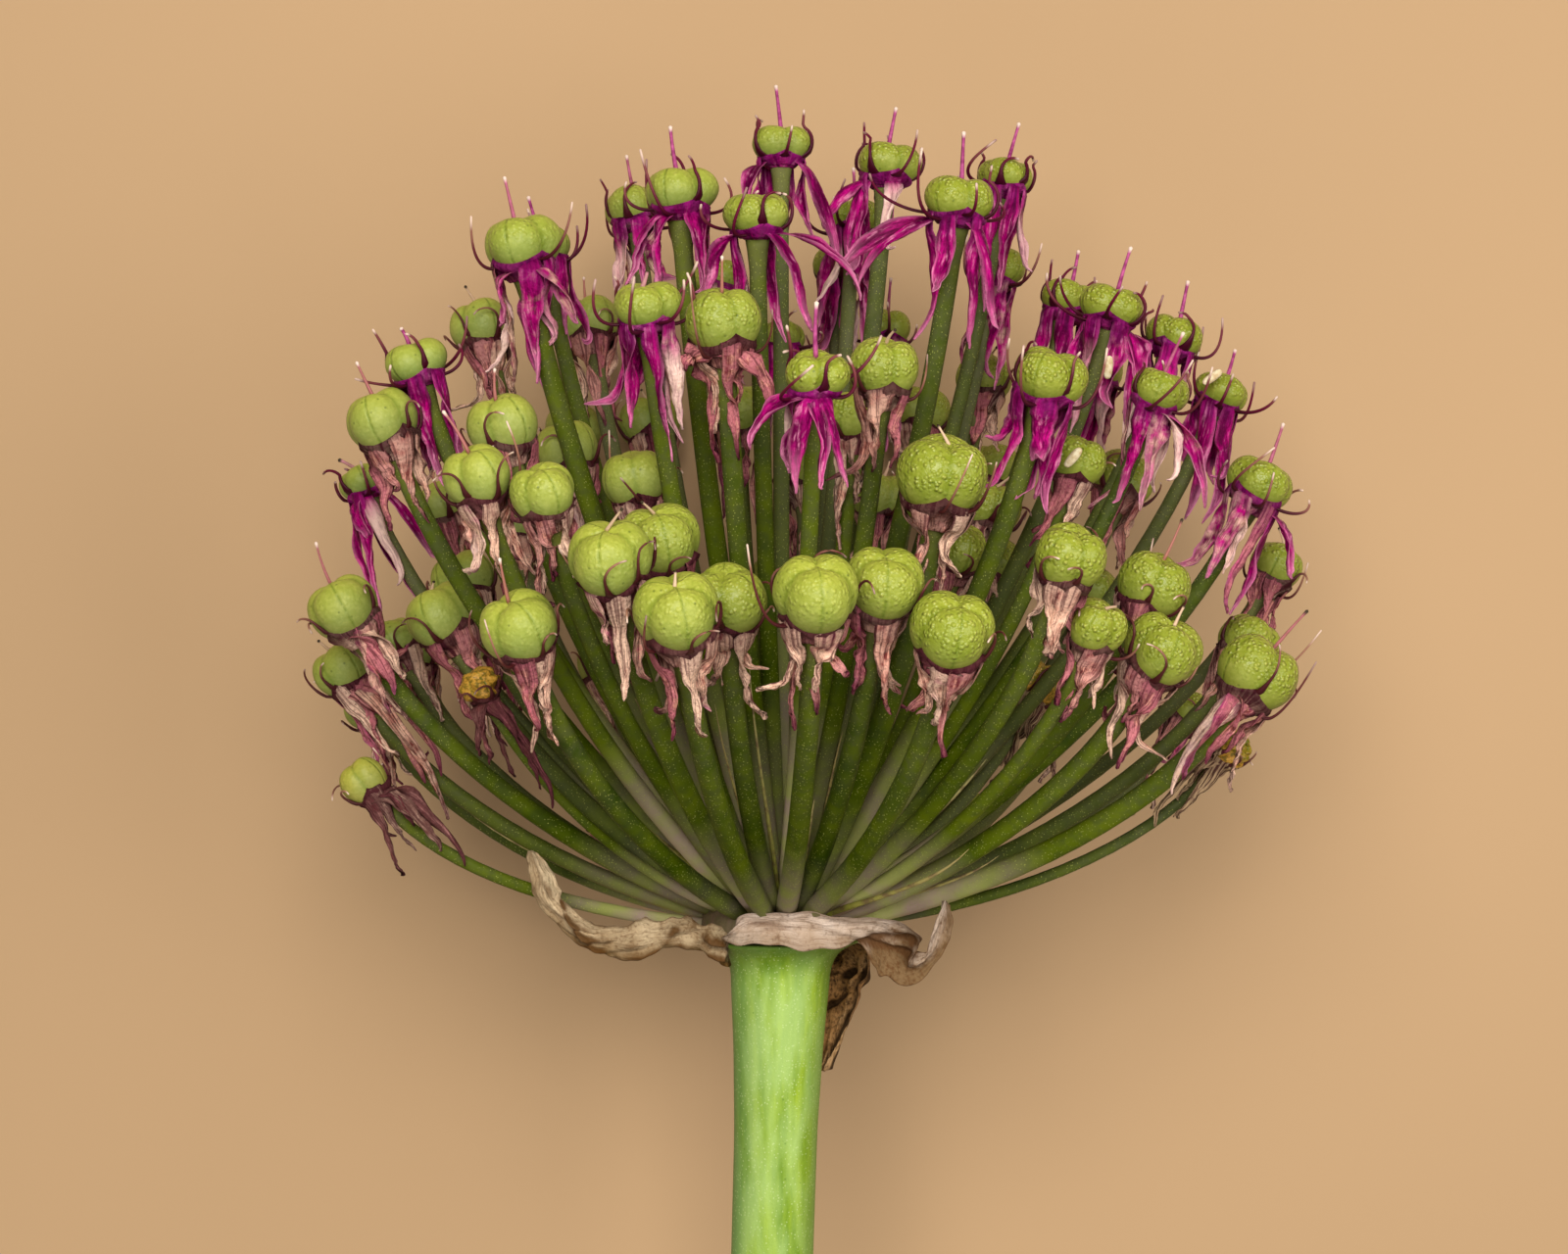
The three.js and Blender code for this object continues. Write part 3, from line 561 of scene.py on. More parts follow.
def around(floret, turn):
    """Directions out from a floret's axis at turns."""
    return np.cos(turn)[..., None] * floret.side + np.sin(turn)[..., None] * floret.cross


def add_capsule(skin, floret):
    """Capsule: a power of the latitude's cosine out and its sine up, lobed, dimpled, and narrower below."""
    stage = floret.stage
    turn = full_circle(CAPSULE_SIDES)[None, :]
    latitude = np.linspace(-0.47, 0.48, CAPSULE_RINGS)[:, None] * math.pi
    out = np.cos(latitude) ** SQUARENESS * (1 - NARROWER_BELOW * np.clip(-np.sin(latitude), 0, 1) ** 1.5)
    shrivelled = floret.number in SHRIVELLED
    lumps = LUMPS * wobble(floret.number, np.cos(turn), np.sin(turn), latitude * 0.6)
    if shrivelled:
        shrunken = wobble(floret.number + 50, 1.5 * np.cos(turn), 1.5 * np.sin(turn), latitude * 1.5)
        lumps = lumps + SHRIVELLED_LUMPS * shrunken
    plump = 1 + LOPSIDED * np.cos(turn - floret.number)
    radius = floret.radius * out * (1 - floret.groove * furrow(turn) + lumps) * plump
    dimple = DIMPLE_DEPTH[stage] * np.exp(-((out / DIMPLE_WIDTH) ** 2)) * (latitude > 0)
    sag = GROOVE_SAG * furrow(turn) * np.clip(np.sin(latitude), 0, 1) ** 2
    wet = 0.75 - 0.25 * floret.dry + floret.place[0] / 55 + 0.3 * ripple(floret.number, WETTING)
    rise = floret.height * (0.5 * np.sin(latitude) - dimple - sag)
    rings = floret.place + radius[..., None] * around(floret, turn) + rise[..., None] * floret.axis
    base = floret.place - floret.axis * floret.height * 0.5
    top = floret.place + floret.axis * floret.height * (0.5 - DIMPLE_DEPTH[stage] - 0.02)
    skin.add(
        rings, base, top,
        groove=np.arccos(np.clip(np.cos(3 * turn), -1, 1)) / math.pi,
        rise=0.5 + 0.5 * np.sin(latitude),
        tone=tone_of(floret, CAPSULE_TONE),
        ripe=RIPE_LUMP if shrivelled else RIPENESS[stage],
        young=1 - floret.dry,
        wet=np.clip(wet, 0.15, 1),
    )


def pedicel_radius(floret, along):
    """A pedicel's radius: a little thicker at its foot, and flared like a funnel under the capsule."""
    below = (1 - along) * floret.stem_length
    flare = PEDICEL.flare * np.exp(-((below / PEDICEL.flare_height) ** 2))
    return PEDICEL.thickness * floret.radius * (PEDICEL.start - PEDICEL.taper * along + flare)


def add_pedicel(skin, floret):
    """Pedicel: rings with faint ridges along the floret's curve."""
    along = 1 - np.linspace(1, 0, PEDICEL_STEPS) ** 1.35
    turns = full_circle(PEDICEL_SIDES)
    place, heading = bezier(floret.curve, along)
    uneven = wobble(floret.number, along[:, None] * 2, np.cos(turns)[None])
    ridges = 1 + RIDGES * np.cos(3 * turns) + RIDGES_UNEVEN * uneven
    radius = pedicel_radius(floret, along)[:, None] * ridges
    rings = tube(place, heading, floret.side, radius, turns)
    skin.add(
        rings, place[0], place[-1],
        along=along[:, None],
        tone=tone_of(floret, PEDICEL_TONE),
        grey=np.clip(-floret.place[2] / 25 + 0.2 + 0.5 * ripple(floret.number, GREYING), 0, 1),
    )


def marks_of_age(floret):
    """Whether a floret is spent, and whether it has turned to straw, as numbers for the petals' finish."""
    return {"spent": float(floret.stage == SPENT), "straw": float(floret.number in STRAW_FLORETS)}


def add_cup(skin, floret):
    """Withered cup: from inside the capsule over a ring that hugs it, then in and down to the pedicel."""
    turn = full_circle(CUP_SIDES)[None, :]
    old = floret.dry
    tall = floret.height
    stem = 0.4 * floret.radius
    depth = 0.5 + 0.8 * old + 0.25 * ripple(floret.number, CUP_DEPTH)
    share = np.linspace(0, 1, CUP_RINGS)
    # Share of the way out from the pedicel, whether the hem is followed, the rise from there, and looseness
    profile = through([
        (0.60, 1, 0.10 * tall, 0.0),
        (0.96, 1, 0.07 * tall, 0.0),
        (1.07, 1, -0.01 * tall, 0.2),
        (0.84, 1, -0.09 * tall, 0.6),
        (0.42 - 0.2 * old, 0, -0.52 * tall, 1.0),
        (0.14, 0, -0.50 * tall - 0.5 * depth, 1.0),
        (0.00, 0, -0.50 * tall - depth, 0.6),
    ], share)
    open_share, hemmed, drop, loose = (column[:, None] for column in profile.T)
    rise = hemmed * hem(turn) * tall + drop
    ring = capsule_reach(floret, turn, hem(turn)) + 0.05
    pleats = 0.1 * np.cos(6 * turn + 2 * wobble(floret.number, share[:, None]))
    crumple = wobble(floret.number + 500, np.cos(turn) * 2, np.sin(turn) * 2, share[:, None])
    creases = (0.08 + 0.14 * old) * crumple
    radius = (stem + (ring - stem) * open_share) * (1 + loose * (pleats + creases))
    edge = np.exp(-(((share[:, None] - 0.33) / 0.1) ** 2))
    flap = (0.1 + 0.35 * old) * wobble(floret.number + 900, np.cos(turn) * 1.8, np.sin(turn) * 1.8)
    radius = radius + edge * np.clip(flap, 0, 1)
    rise = rise + edge * 0.7 * flap
    below = np.clip(-drop - 0.5 * tall, 0, None)[:, 0]
    centre = bezier(floret.curve, 1 - below / floret.stem_length)[0]
    above = np.clip(rise + 0.5 * tall, 0, None)
    rings = centre[:, None] + radius[..., None] * around(floret, turn) + above[..., None] * floret.axis
    skin.add(
        rings, rings[0].mean(axis=0), rings[-1].mean(axis=0),
        along=0.02 + 0.2 * share[:, None],
        across=np.cos(3 * turn),
        dry=old,
        tone=tone_of(floret, CUP_TONE),
        **marks_of_age(floret),
    )


def aged(pair, dry):
    """A fresh petal's measure, and how much more of it a dry one has, taken together."""
    fresh, more = pair
    return fresh + more * dry


def hanging_path(floret, draw, turn, along, length):
    """A petal's way from the cup's ring over its edge, then down between the pedicel's way and the plumb."""
    old = floret.dry
    out = around(floret, turn)
    ring = capsule_reach(floret, turn, hem(turn))
    lip = (0.5 + hem(turn)) * floret.height
    close = ring * draw.uniform(0.7, 1.08) * (1 - old) + draw.uniform(0.9, 1.6) * old
    stray = draw.uniform(1.2, 4.0) * (draw.uniform() < STRAY_PETALS)
    end = close + draw.normal(0, 0.5) + stray
    at = np.interp(along, [0, 0.06, 0.14, 0.36, 0.7, 1], np.linspace(0, 1, 6))
    profile = through([
        (ring - 0.5, lip - 0.1),
        (ring + 0.12, lip + 0.05),
        (ring + 0.10 - 0.5 * old, -0.10 * length),
        (close, -0.34 * length),
        (close + 0.4 * stray + draw.normal(0, 0.35), -0.7 * length),
        (end, -length + 0.5 * stray),
    ], at)
    reach, rise = profile.T
    fall = np.clip(-rise, 0, None)
    follow = draw.uniform(0.4, 0.85)
    hung = floret.curve[3] - UP * fall[:, None]
    centre = follow * bezier(floret.curve, 1 - fall / floret.stem_length)[0] + (1 - follow) * hung
    drift = draw.normal(0, 0.7) * along ** 1.5
    above = np.clip(rise, 0, None)
    aside = np.cross(floret.axis, out)
    return centre + reach[:, None] * out + drift[:, None] * aside + above[:, None] * floret.axis, out


def swept_path(floret, draw, tip, along):
    """A petal's way from the cup's ring in one sagging curve to a tip that is given as seen from above."""
    across, up, nearer = tip
    goal = seen_floret(across, up, floret.place[2] + nearer, 0, YOUNG, 0).place
    cup = floret.place - floret.axis * floret.height * 0.4
    way = goal - cup
    out = unit(way - np.dot(way, floret.axis) * floret.axis)
    reach = np.linalg.norm(way)
    rim = cup + out * floret.radius * 0.8
    curve = np.array([
        rim - out * floret.radius * 0.5,
        rim + out * 0.14 * reach + floret.axis * 0.3,
        goal + UP * reach * draw.uniform(0.12, 0.3) + NEAR * draw.uniform(-0.5, 1.0),
        goal,
    ])
    return bezier(curve, along)[0], out


def petal_way(floret, draw, k, tip, dry, along):
    """Where a petal's middle line runs, and the direction in which it leaves its floret."""
    if tip:
        return swept_path(floret, draw, tip, along)
    turn = (k + 0.5) * math.pi / 3 + draw.normal(0, aged(PETAL.aside, dry))
    length = PETAL_LENGTH[floret.stage] * draw.uniform(aged(PETAL.shortest, dry), aged(PETAL.longest, dry))
    return hanging_path(floret, draw, turn, along, length)


def crumpled_way(floret, draw, place, out, aside, loose, dry, along):
    """The middle line wanders and shakes in three directions, and its end hooks aside and up."""
    for direction in (out, aside, floret.axis):
        wander = aged(PETAL.wander, dry) * next_wobble(draw, along * 2.4)
        shake = aged(PETAL.shake, dry) * next_wobble(draw, along * 7)
        place = place + (loose * (wander + shake))[:, None] * direction
    hook = draw.uniform(0.0, 1.0) ** 2 * aged(PETAL.hook, dry) * np.clip((along - 0.7) / 0.3, 0, 1) ** 2
    return place + hook[:, None] * unit(out * draw.normal(0.6, 0.7) + aside * draw.normal(0, 1) + UP * 0.8)


def twisted_directions(draw, across, normal, loose, dry, along):
    """A petal's directions across and off its face, turned by an even twist and a waving one."""
    twist = loose * draw.normal(0, aged(PETAL.twist, dry))
    twist = (twist + aged(PETAL.wave, dry) * loose * np.sin(7 * along + draw.uniform(0, 6)))[:, None]
    turned_across = across * np.cos(twist) + normal * np.sin(twist)
    return turned_across, normal * np.cos(twist) - across * np.sin(twist)


def petal_half_width(floret, draw, swept, dry, along):
    """Narrow at a fresh petal's root and broad at a dry one's, full at its belly, then drawn to a tip."""
    belly = draw.uniform(0.35, 0.65)
    half = draw.uniform(*PETAL_HALF_WIDTH) * aged(PETAL.width, dry)
    half = half * min(1.0, floret.radius / FULL_WIDTH_RADIUS)
    if swept:
        half = half * aged(PETAL.swept_width, dry)
    half = half * (1 + aged(PETAL.root, dry) * np.exp(-((along / 0.22) ** 2)))
    half = half * (0.85 + 0.15 * np.exp(-(((along - belly) / 0.3) ** 2)))
    half = half * (1 - 0.92 * along ** aged(PETAL.taper, dry))
    return half * (1 + aged(PETAL.ragged, dry) * next_wobble(draw, along * 5))


def petal_bend(draw, loose, dry, along):
    """How far a petal's edges are rolled: a little outwards at its root, then to a side of its own."""
    curl = draw.choice([-1, 1]) * draw.uniform(aged(PETAL.least_curl, dry), aged(PETAL.most_curl, dry))
    rolled = curl * (1 + 0.35 * next_wobble(draw, along * 3))
    return -0.5 * (1 - loose) + rolled * loose


def petal_ruffle(draw, share, loose, dry, along):
    """How far each point stands off a petal's face: broad and small waves, and pleats along a dry one."""
    along = along[:, None]
    ruffle = aged(PETAL.ruffle, dry) * next_wobble(draw, along * 3, share * 1.3)
    ruffle = ruffle + aged(PETAL.small_ruffle, dry) * next_wobble(draw, along * 8, share * 2.4)
    pleats = aged(PETAL.pleats, dry) * np.cos(2.2 * math.pi * share + 3 * next_wobble(draw, along * 2))
    return (ruffle + pleats) * (0.25 + 0.75 * loose[:, None])


def add_petal(skin, floret, k, tip=None):
    """Withered petal: a gutter that hangs by its pedicel, or sweeps to its tip, crumpled and twisted."""
    draw = np.random.default_rng(1000 * floret.number + k)
    dry = float(np.clip(floret.dry + draw.normal(0, 0.14), 0, 1))
    along = np.linspace(0, 1, PETAL_STEPS)
    loose = np.clip((along - 0.12) / 0.4, 0, 1)
    place, out = petal_way(floret, draw, k, tip, dry, along)
    aside = unit(np.cross(floret.axis, out))
    place = crumpled_way(floret, draw, place, out, aside, loose, dry, along)
    heading = unit(np.gradient(place, axis=0))
    across, normal = framed(heading, aside)
    across, normal = twisted_directions(draw, across, normal, loose, dry, along)
    half = petal_half_width(floret, draw, bool(tip), dry, along)
    bend = petal_bend(draw, loose, dry, along)
    share = np.linspace(-1, 1, PETAL_COLUMNS)[None, :]
    ruffle = petal_ruffle(draw, share, loose, dry, along)
    rings = strap(place, across, normal, half, bend, ruffle, PETAL_THICKNESS, PETAL_COLUMNS)
    skin.add(
        rings, place[0], place[-1] + heading[-1] * THREAD_END,
        along=0.08 + 0.92 * along[:, None],
        across=there_and_back(share),
        dry=dry,
        tone=draw.uniform(),
        **marks_of_age(floret),
    )


def hugging_thread(floret, draw, turn, along):
    """A filament's way up its capsule: it keeps a little off the skin and curls round at its tip."""
    old = floret.dry
    length = floret.height * (draw.uniform(0.75, 1.15) * (1 - old) + draw.uniform(0.35, 0.75) * old) + 0.6
    bent = draw.uniform(0.3, 2.2) + 2.6 * max(0.0, old - 0.3) * draw.uniform(0.1, 1.2)
    swing = draw.choice([-1, 1]) * bent * np.clip((along - 0.4) / 0.6, 0, 1) ** 1.3
    step = length * np.gradient(along)
    rise = (hem(turn) - 0.08) * floret.height + np.cumsum(np.cos(swing) * step)
    sweep = turn + np.cumsum(np.sin(swing) * step) / floret.radius
    level = np.clip(rise / floret.height, -0.5, 0.5)
    skin_there = np.maximum(capsule_reach(floret, sweep, level), 0.62 * floret.radius)
    settle = np.clip(along / 0.14, 0, 1)
    stand = 0.12 * settle + draw.uniform(0.2, 1.6) * along ** 1.5
    return (0.88 + 0.12 * settle) * skin_there + stand, sweep, rise


def open_thread(floret, draw, turn, along):
    """A filament's way out from its capsule, then up."""
    ring = capsule_reach(floret, turn, hem(turn))
    low = hem(turn) * floret.height
    height = floret.height
    wide = draw.uniform(0.4, 1.3) * floret.radius * (1 - 0.6 * floret.dry)
    path = np.array([
        [0.85 * ring, low - 0.1 * height],
        [ring + 0.5 * wide, low - 0.15 * height],
        [ring + 1.2 * wide, low + 0.05 * height],
        [ring + wide * draw.uniform(0.6, 1.5), draw.uniform(0.0, 0.9) * height],
    ])
    flat, _ = bezier(path, along)
    return flat[:, 0], turn + draw.normal(0, 0.3) * along ** 2, flat[:, 1]


def add_filament(skin, floret, k):
    """Filament: a flat thorn where it leaves the cup, drawn out to a thread with a pale tip."""
    draw = np.random.default_rng(5000 + 1000 * floret.number + k)
    if draw.uniform() < FALLEN_SHARE * floret.dry:
        return
    along = np.linspace(0, 1, FILAMENT_STEPS) ** 1.15
    turn = k * math.pi / 3 + draw.normal(0, 0.07)
    thread = open_thread if draw.uniform() < OPEN_SHARE[floret.stage] else hugging_thread
    away, sweep, rise = thread(floret, draw, turn, along)
    place = floret.place + away[:, None] * around(floret, sweep) + rise[:, None] * floret.axis
    heading = unit(np.gradient(place, axis=0))
    across, cross = framed(heading, np.cross(floret.axis, around(floret, turn)))
    turns = full_circle(FILAMENT_SIDES)
    thorn = (THORN.width - THORN.dry * floret.dry) * np.clip(1 - along / THORN.length, 0, 1) ** 1.6
    width = THREAD.width - THREAD.taper * along - THREAD.dry * floret.dry + thorn
    thick = np.minimum(width, THREAD.thickness)
    ring = width[:, None, None] * np.cos(turns)[:, None] * across[:, None]
    ring = ring + thick[:, None, None] * np.sin(turns)[:, None] * cross[:, None]
    skin.add(
        place[:, None] + ring, place[0], place[-1] + heading[-1] * THREAD_END,
        along=along[:, None], dry=floret.dry, style=0.0, knob=0.0, stub=0.0,
    )


def add_style(skin, floret):
    """Style, or the stub of one: a thread from the capsule's dimple that tapers and bends, with a knob."""
    draw = np.random.default_rng(9000 + floret.number)
    stub = not floret.style
    if stub and draw.uniform() < STUB.missing:
        return
    length = draw.uniform(*STUB.length) if stub else floret.style
    foot = floret.place + floret.axis * floret.height * (0.5 - DIMPLE_DEPTH[floret.stage] - 0.03)
    lean = around(floret, draw.uniform(0, 2 * math.pi)) * (STUB.lean if stub else STYLE.lean)
    along = np.linspace(0, 1, STYLE_STEPS)
    bend = around(floret, draw.uniform(0, 2 * math.pi)) * draw.normal(0, STYLE.bend)
    straight = foot + along[:, None] * length * unit(floret.axis + lean)
    place = straight + (along ** 2)[:, None] * bend
    heading = unit(np.gradient(place, axis=0))
    knob = STYLE.knob * np.exp(-(((along - 0.97) / 0.08) ** 2))
    radius = STYLE.radius - STYLE.dry * floret.dry - STYLE.taper * along + knob
    turns = full_circle(FILAMENT_SIDES)
    rings = tube(place, heading, floret.side, radius[:, None], turns)
    skin.add(
        rings, place[0], place[-1] + heading[-1] * 0.15,
        along=along[:, None], dry=floret.dry, style=1.0,
        knob=float(stub or (floret.stage == SET and floret.place[0] > 25)),
        stub=float(stub),
    )


def add_anther(skin, floret, across, up, nearer, lean):
    """Anther: a thread from its floret's cup, ending in a pale two-lobed grain."""
    middle = seen_floret(across, up, floret.place[2] + nearer, 0, YOUNG, 0).place
    way = np.array([math.sin(math.radians(lean)), math.cos(math.radians(lean)), 0.2])
    rim = floret.place - floret.axis * floret.height * 0.4
    along = np.linspace(0, 1, FILAMENT_STEPS)
    curve = np.array([rim, rim + NEAR * nearer * 0.8, middle + NEAR * 1.2 - way * 1.5, middle])
    turns = full_circle(ANTHER_SIDES)
    place, heading = bezier(curve, along)
    rings = tube(place, heading, np.cross(heading[0], NEAR), ANTHER_THREAD, turns)
    skin.add(rings, place[0], place[-1], along=0.5 * along[:, None])
    latitude = np.linspace(-0.45, 0.45, FILAMENT_STEPS) * math.pi
    place = middle + (ANTHER_LENGTH / 2 * np.sin(latitude))[:, None] * unit(way)
    heading = np.broadcast_to(unit(way), place.shape)
    lobes = 1 - 0.3 * np.abs(np.sin(turns)) ** 6
    radius = ANTHER_RADIUS * np.cos(latitude)[:, None] ** 0.6 * lobes
    rings = tube(place, heading, np.cross(way, NEAR), radius, turns)
    skin.add(rings, place[0] - unit(way) * 0.05, place[-1] + unit(way) * 0.05, along=1.0)


def add_dry_stem(skin, number):
    """A pedicel that never grew on: a thin pale thread that tapers out between the others."""
    draw = np.random.default_rng(30000 + number)
    turn = number * GOLDEN_ANGLE
    place = np.array([math.cos(turn), 0.0, math.sin(turn)])
    way = tilted(place, draw.uniform(*DRY_STEM.tilt))
    seat = on_dome(way)
    length = DRY_STEM.shortest + DRY_STEM.longer * draw.uniform() ** 1.6
    sag = unit(np.array([draw.normal(), draw.normal(), draw.normal()])) * length * DRY_STEM.sag
    along = np.linspace(0, 1, DRY_STEM_STEPS)
    curve = np.array([
        seat - way * ROOT_DEPTH,
        seat + way * length * 0.3,
        seat + way * length * 0.7 + sag,
        seat + way * length + sag + UP * length * DRY_STEM.lift,
    ])
    path, heading = bezier(curve, along)
    radius = draw.uniform(*DRY_STEM.radius) * (1.02 - along) ** 0.7
    radius = radius * (1 + 0.2 * wobble(30500 + number, along * 4))
    turns = full_circle(FILAMENT_SIDES)
    rings = tube(path, heading, np.cross(way, UP), radius[:, None], turns)
    skin.add(rings, path[0], path[-1] + heading[-1] * 0.1, along=along[:, None], tone=draw.uniform())


# Shader maths

class Value:
    """A socket whose arithmetic adds Math nodes, so that materials are written as expressions."""

    def __init__(self, finish, socket):
        self.finish = finish
        self.socket = socket

    def math(self, operation, *others, clamp=False):
        """A Math node that works on this value and on others."""
        settings = {"operation": operation, "use_clamp": clamp}
        return self.finish.node("ShaderNodeMath", settings, {0: self, **dict(enumerate(others, 1))})

    def __add__(self, other):
        return self.math("ADD", other)

    def __sub__(self, other):
        return self.math("SUBTRACT", other)

    def __mul__(self, other):
        return self.math("MULTIPLY", other)

    def __rsub__(self, other):
        return self.finish.node("ShaderNodeMath", {"operation": "SUBTRACT"}, {0: other, 1: self})

    __radd__ = __add__
    __rmul__ = __mul__

    def clamped(self):
        """The value kept between 0 and 1."""
        return self.math("ADD", 0.0, clamp=True)

    def above(self, edge, blur=0.1):
        """Zero below the edge and one above it, over a blur."""
        limits = {"From Min": edge - blur, "From Max": edge + blur}
        return self.finish.node("ShaderNodeMapRange", {"clamp": True}, {"Value": self, **limits})


class Finish:
    """A material being made from one Principled shader."""

    def __init__(self, name, **constants):
        self.material = bpy.data.materials.new(name)
        self.material.use_nodes = True
        self.tree = self.material.node_tree
        self.shader = self.tree.nodes["Principled BSDF"]
        for socket, value in constants.items():
            self.shader.inputs[socket.replace("_", " ")].default_value = value

    def node(self, kind, settings, sockets, output=0):
        """Adds a node of a kind, with its settings set first, then its sockets' values or links."""
        node = self.tree.nodes.new(kind)
        for name, value in settings.items():
            setattr(node, name, value)
        for name, value in sockets.items():
            self.put(node.inputs[name], value)
        return Value(self, node.outputs[output])

    def put(self, socket, value):
        """Links a value to a socket, or sets a number, a vector or a colour on it."""
        if isinstance(value, Value):
            self.tree.links.new(value.socket, socket)
        elif socket.type == "RGBA":
            socket.default_value = (*value, 1.0)
        else:
            socket.default_value = value

    def trait(self, name):
        """A number kept on the mesh's points."""
        return self.node("ShaderNodeAttribute", {"attribute_name": name}, {}, output="Fac")

    def place(self, stretch=(1, 1, 1)):
        """Object coordinates in millimetres, stretched along each axis."""
        where = self.node("ShaderNodeTexCoord", {}, {}, output="Object")
        scale = tuple(share / MM for share in stretch)
        return self.node("ShaderNodeVectorMath", {"operation": "MULTIPLY"}, {0: where, 1: scale})

    def noise(self, size, detail=3.0, rough=0.55, vector=None):
        """Noise from 0 to 1 with features of a size in millimetres."""
        sockets = {"Vector": vector or self.place(), "Scale": 1 / size, "Detail": detail, "Roughness": rough}
        return self.node("ShaderNodeTexNoise", {}, sockets, output="Fac")

    def cells(self, size):
        """Distance to the nearest of random points that lie a size in millimetres apart."""
        sockets = {"Vector": self.place(), "Scale": 1 / size}
        return self.node("ShaderNodeTexVoronoi", {"feature": "F1"}, sockets, output="Distance")

    def dots(self, size, reach, blur):
        """One on dots that lie a size in millimetres apart, fading to nought at their reach."""
        return 1 - self.cells(size).above(reach, blur)

    def sheet_way(self, across, along, depth):
        """A vector to lay a pattern on a sheet: across it, along it, and a depth that parts sheets."""
        return self.node("ShaderNodeCombineXYZ", {}, {"X": across, "Y": along, "Z": depth})

    def mix(self, factor, first, second):
        """From the first colour to the second as the factor goes from 0 to 1."""
        settings = {"data_type": "RGBA", "blend_type": "MIX", "clamp_factor": True}
        return self.node("ShaderNodeMix", settings, {0: factor, 6: first, 7: second}, output=2)

    def layered(self, colour, *layers):
        """Lays colours over the first one in turn, each where its mask is above nought."""
        for mask, paint in layers:
            colour = self.mix(mask, colour, paint)
        return colour

    def bump(self, height, depth):
        """A normal that a height of 0 to 1 raises by a depth in millimetres."""
        sockets = {"Height": height, "Distance": depth * MM, "Strength": 1.0}
        return self.node("ShaderNodeBump", {}, sockets, output="Normal")

    def finished(self, **sockets):
        """Puts what varies over the surface on the shader's sockets."""
        for name, value in sockets.items():
            self.put(self.shader.inputs[name.replace("_", " ")], value)
        return self.material


def capsule_skin():
    """Yellow-green capsule: a vein along each lobe, a pale bloom below, a wet pebbly crown, painted shade on
    its lower part, a top made lighter partly by painted light, and painted glints on the crown.
    """
    finish = Finish("capsule_skin", IOR=1.4, Specular_IOR_Level=0.45)
    groove = finish.trait("groove")
    rise = finish.trait("rise")
    damp = finish.trait("wet")
    broad = finish.noise(3.0, detail=2)
    fine = finish.noise(0.6, detail=4)
    pebble = finish.noise(0.42, detail=3, rough=0.6)
    wet = damp * rise.above(0.44 + 0.5 * (broad - 0.5), 0.14)
    bloom = (1 - rise.above(0.6, 0.4)) * (1 - damp)
    # Painted shade: each capsule's lower part is darkened, more on the wet side
    below = (1 - rise.above(0.34, 0.3)) * (0.5 + 0.35 * damp)
    ripe = (finish.trait("ripe") * (0.3 + 1.2 * broad)).clamped()
    vein = (1 - groove.above(0.035, 0.035)) * fine.above(0.40, 0.14)
    crease = groove.above(0.93, 0.07)
    bead = finish.dots(0.5, 0.3, 0.25)
    # Darker green mottling, and painted shade in the hollows between the wet beads
    blotch = pebble.above(0.54, 0.08) * 0.22 + (1 - bead) * wet * 0.52
    # Painted glints: small pale flecks over the crown, and painted highlights on the wet beads
    painted_glint = (1 - pebble.above(0.38, 0.06)) * 0.12 + bead.above(0.72, 0.18) * wet * 0.45
    colour = finish.layered(
        finish.mix(broad.above(0.5, 0.2), (0.19, 0.30, 0.036), (0.34, 0.465, 0.075)),
        (finish.trait("tone") * 0.4, (0.38, 0.45, 0.10)),
        (finish.trait("young") * 0.5, (0.41, 0.36, 0.035)),
        (bloom * 0.65, (0.24, 0.36, 0.13)),
        (below, (0.12, 0.18, 0.015)),
        # A lighter, yellower top: partly the crown's own colour, partly painted light from above
        (rise.above(0.68, 0.28) * 0.55, (0.48, 0.54, 0.065)),
        (ripe, (0.58, 0.29, 0.035)),
        (ripe.above(0.8, 0.2) * pebble.above(0.52, 0.06) * 0.8, (0.13, 0.06, 0.006)),
        (vein * 0.6 + crease * 0.45, (0.10, 0.17, 0.006)),
        (blotch, (0.19, 0.23, 0.008)),
        (painted_glint, (0.68, 0.64, 0.16)),
        (finish.dots(1.3, 0.09, 0.05) * 0.6, (0.05, 0.08, 0.006)),
    )
    height = pebble * (0.2 + 0.3 * wet) + bead * wet * 1.05 - vein * 0.35
    rough = 0.46 - 0.34 * wet + 0.12 * fine
    return finish.finished(Base_Color=colour, Roughness=rough, Normal=finish.bump(height, 0.2))


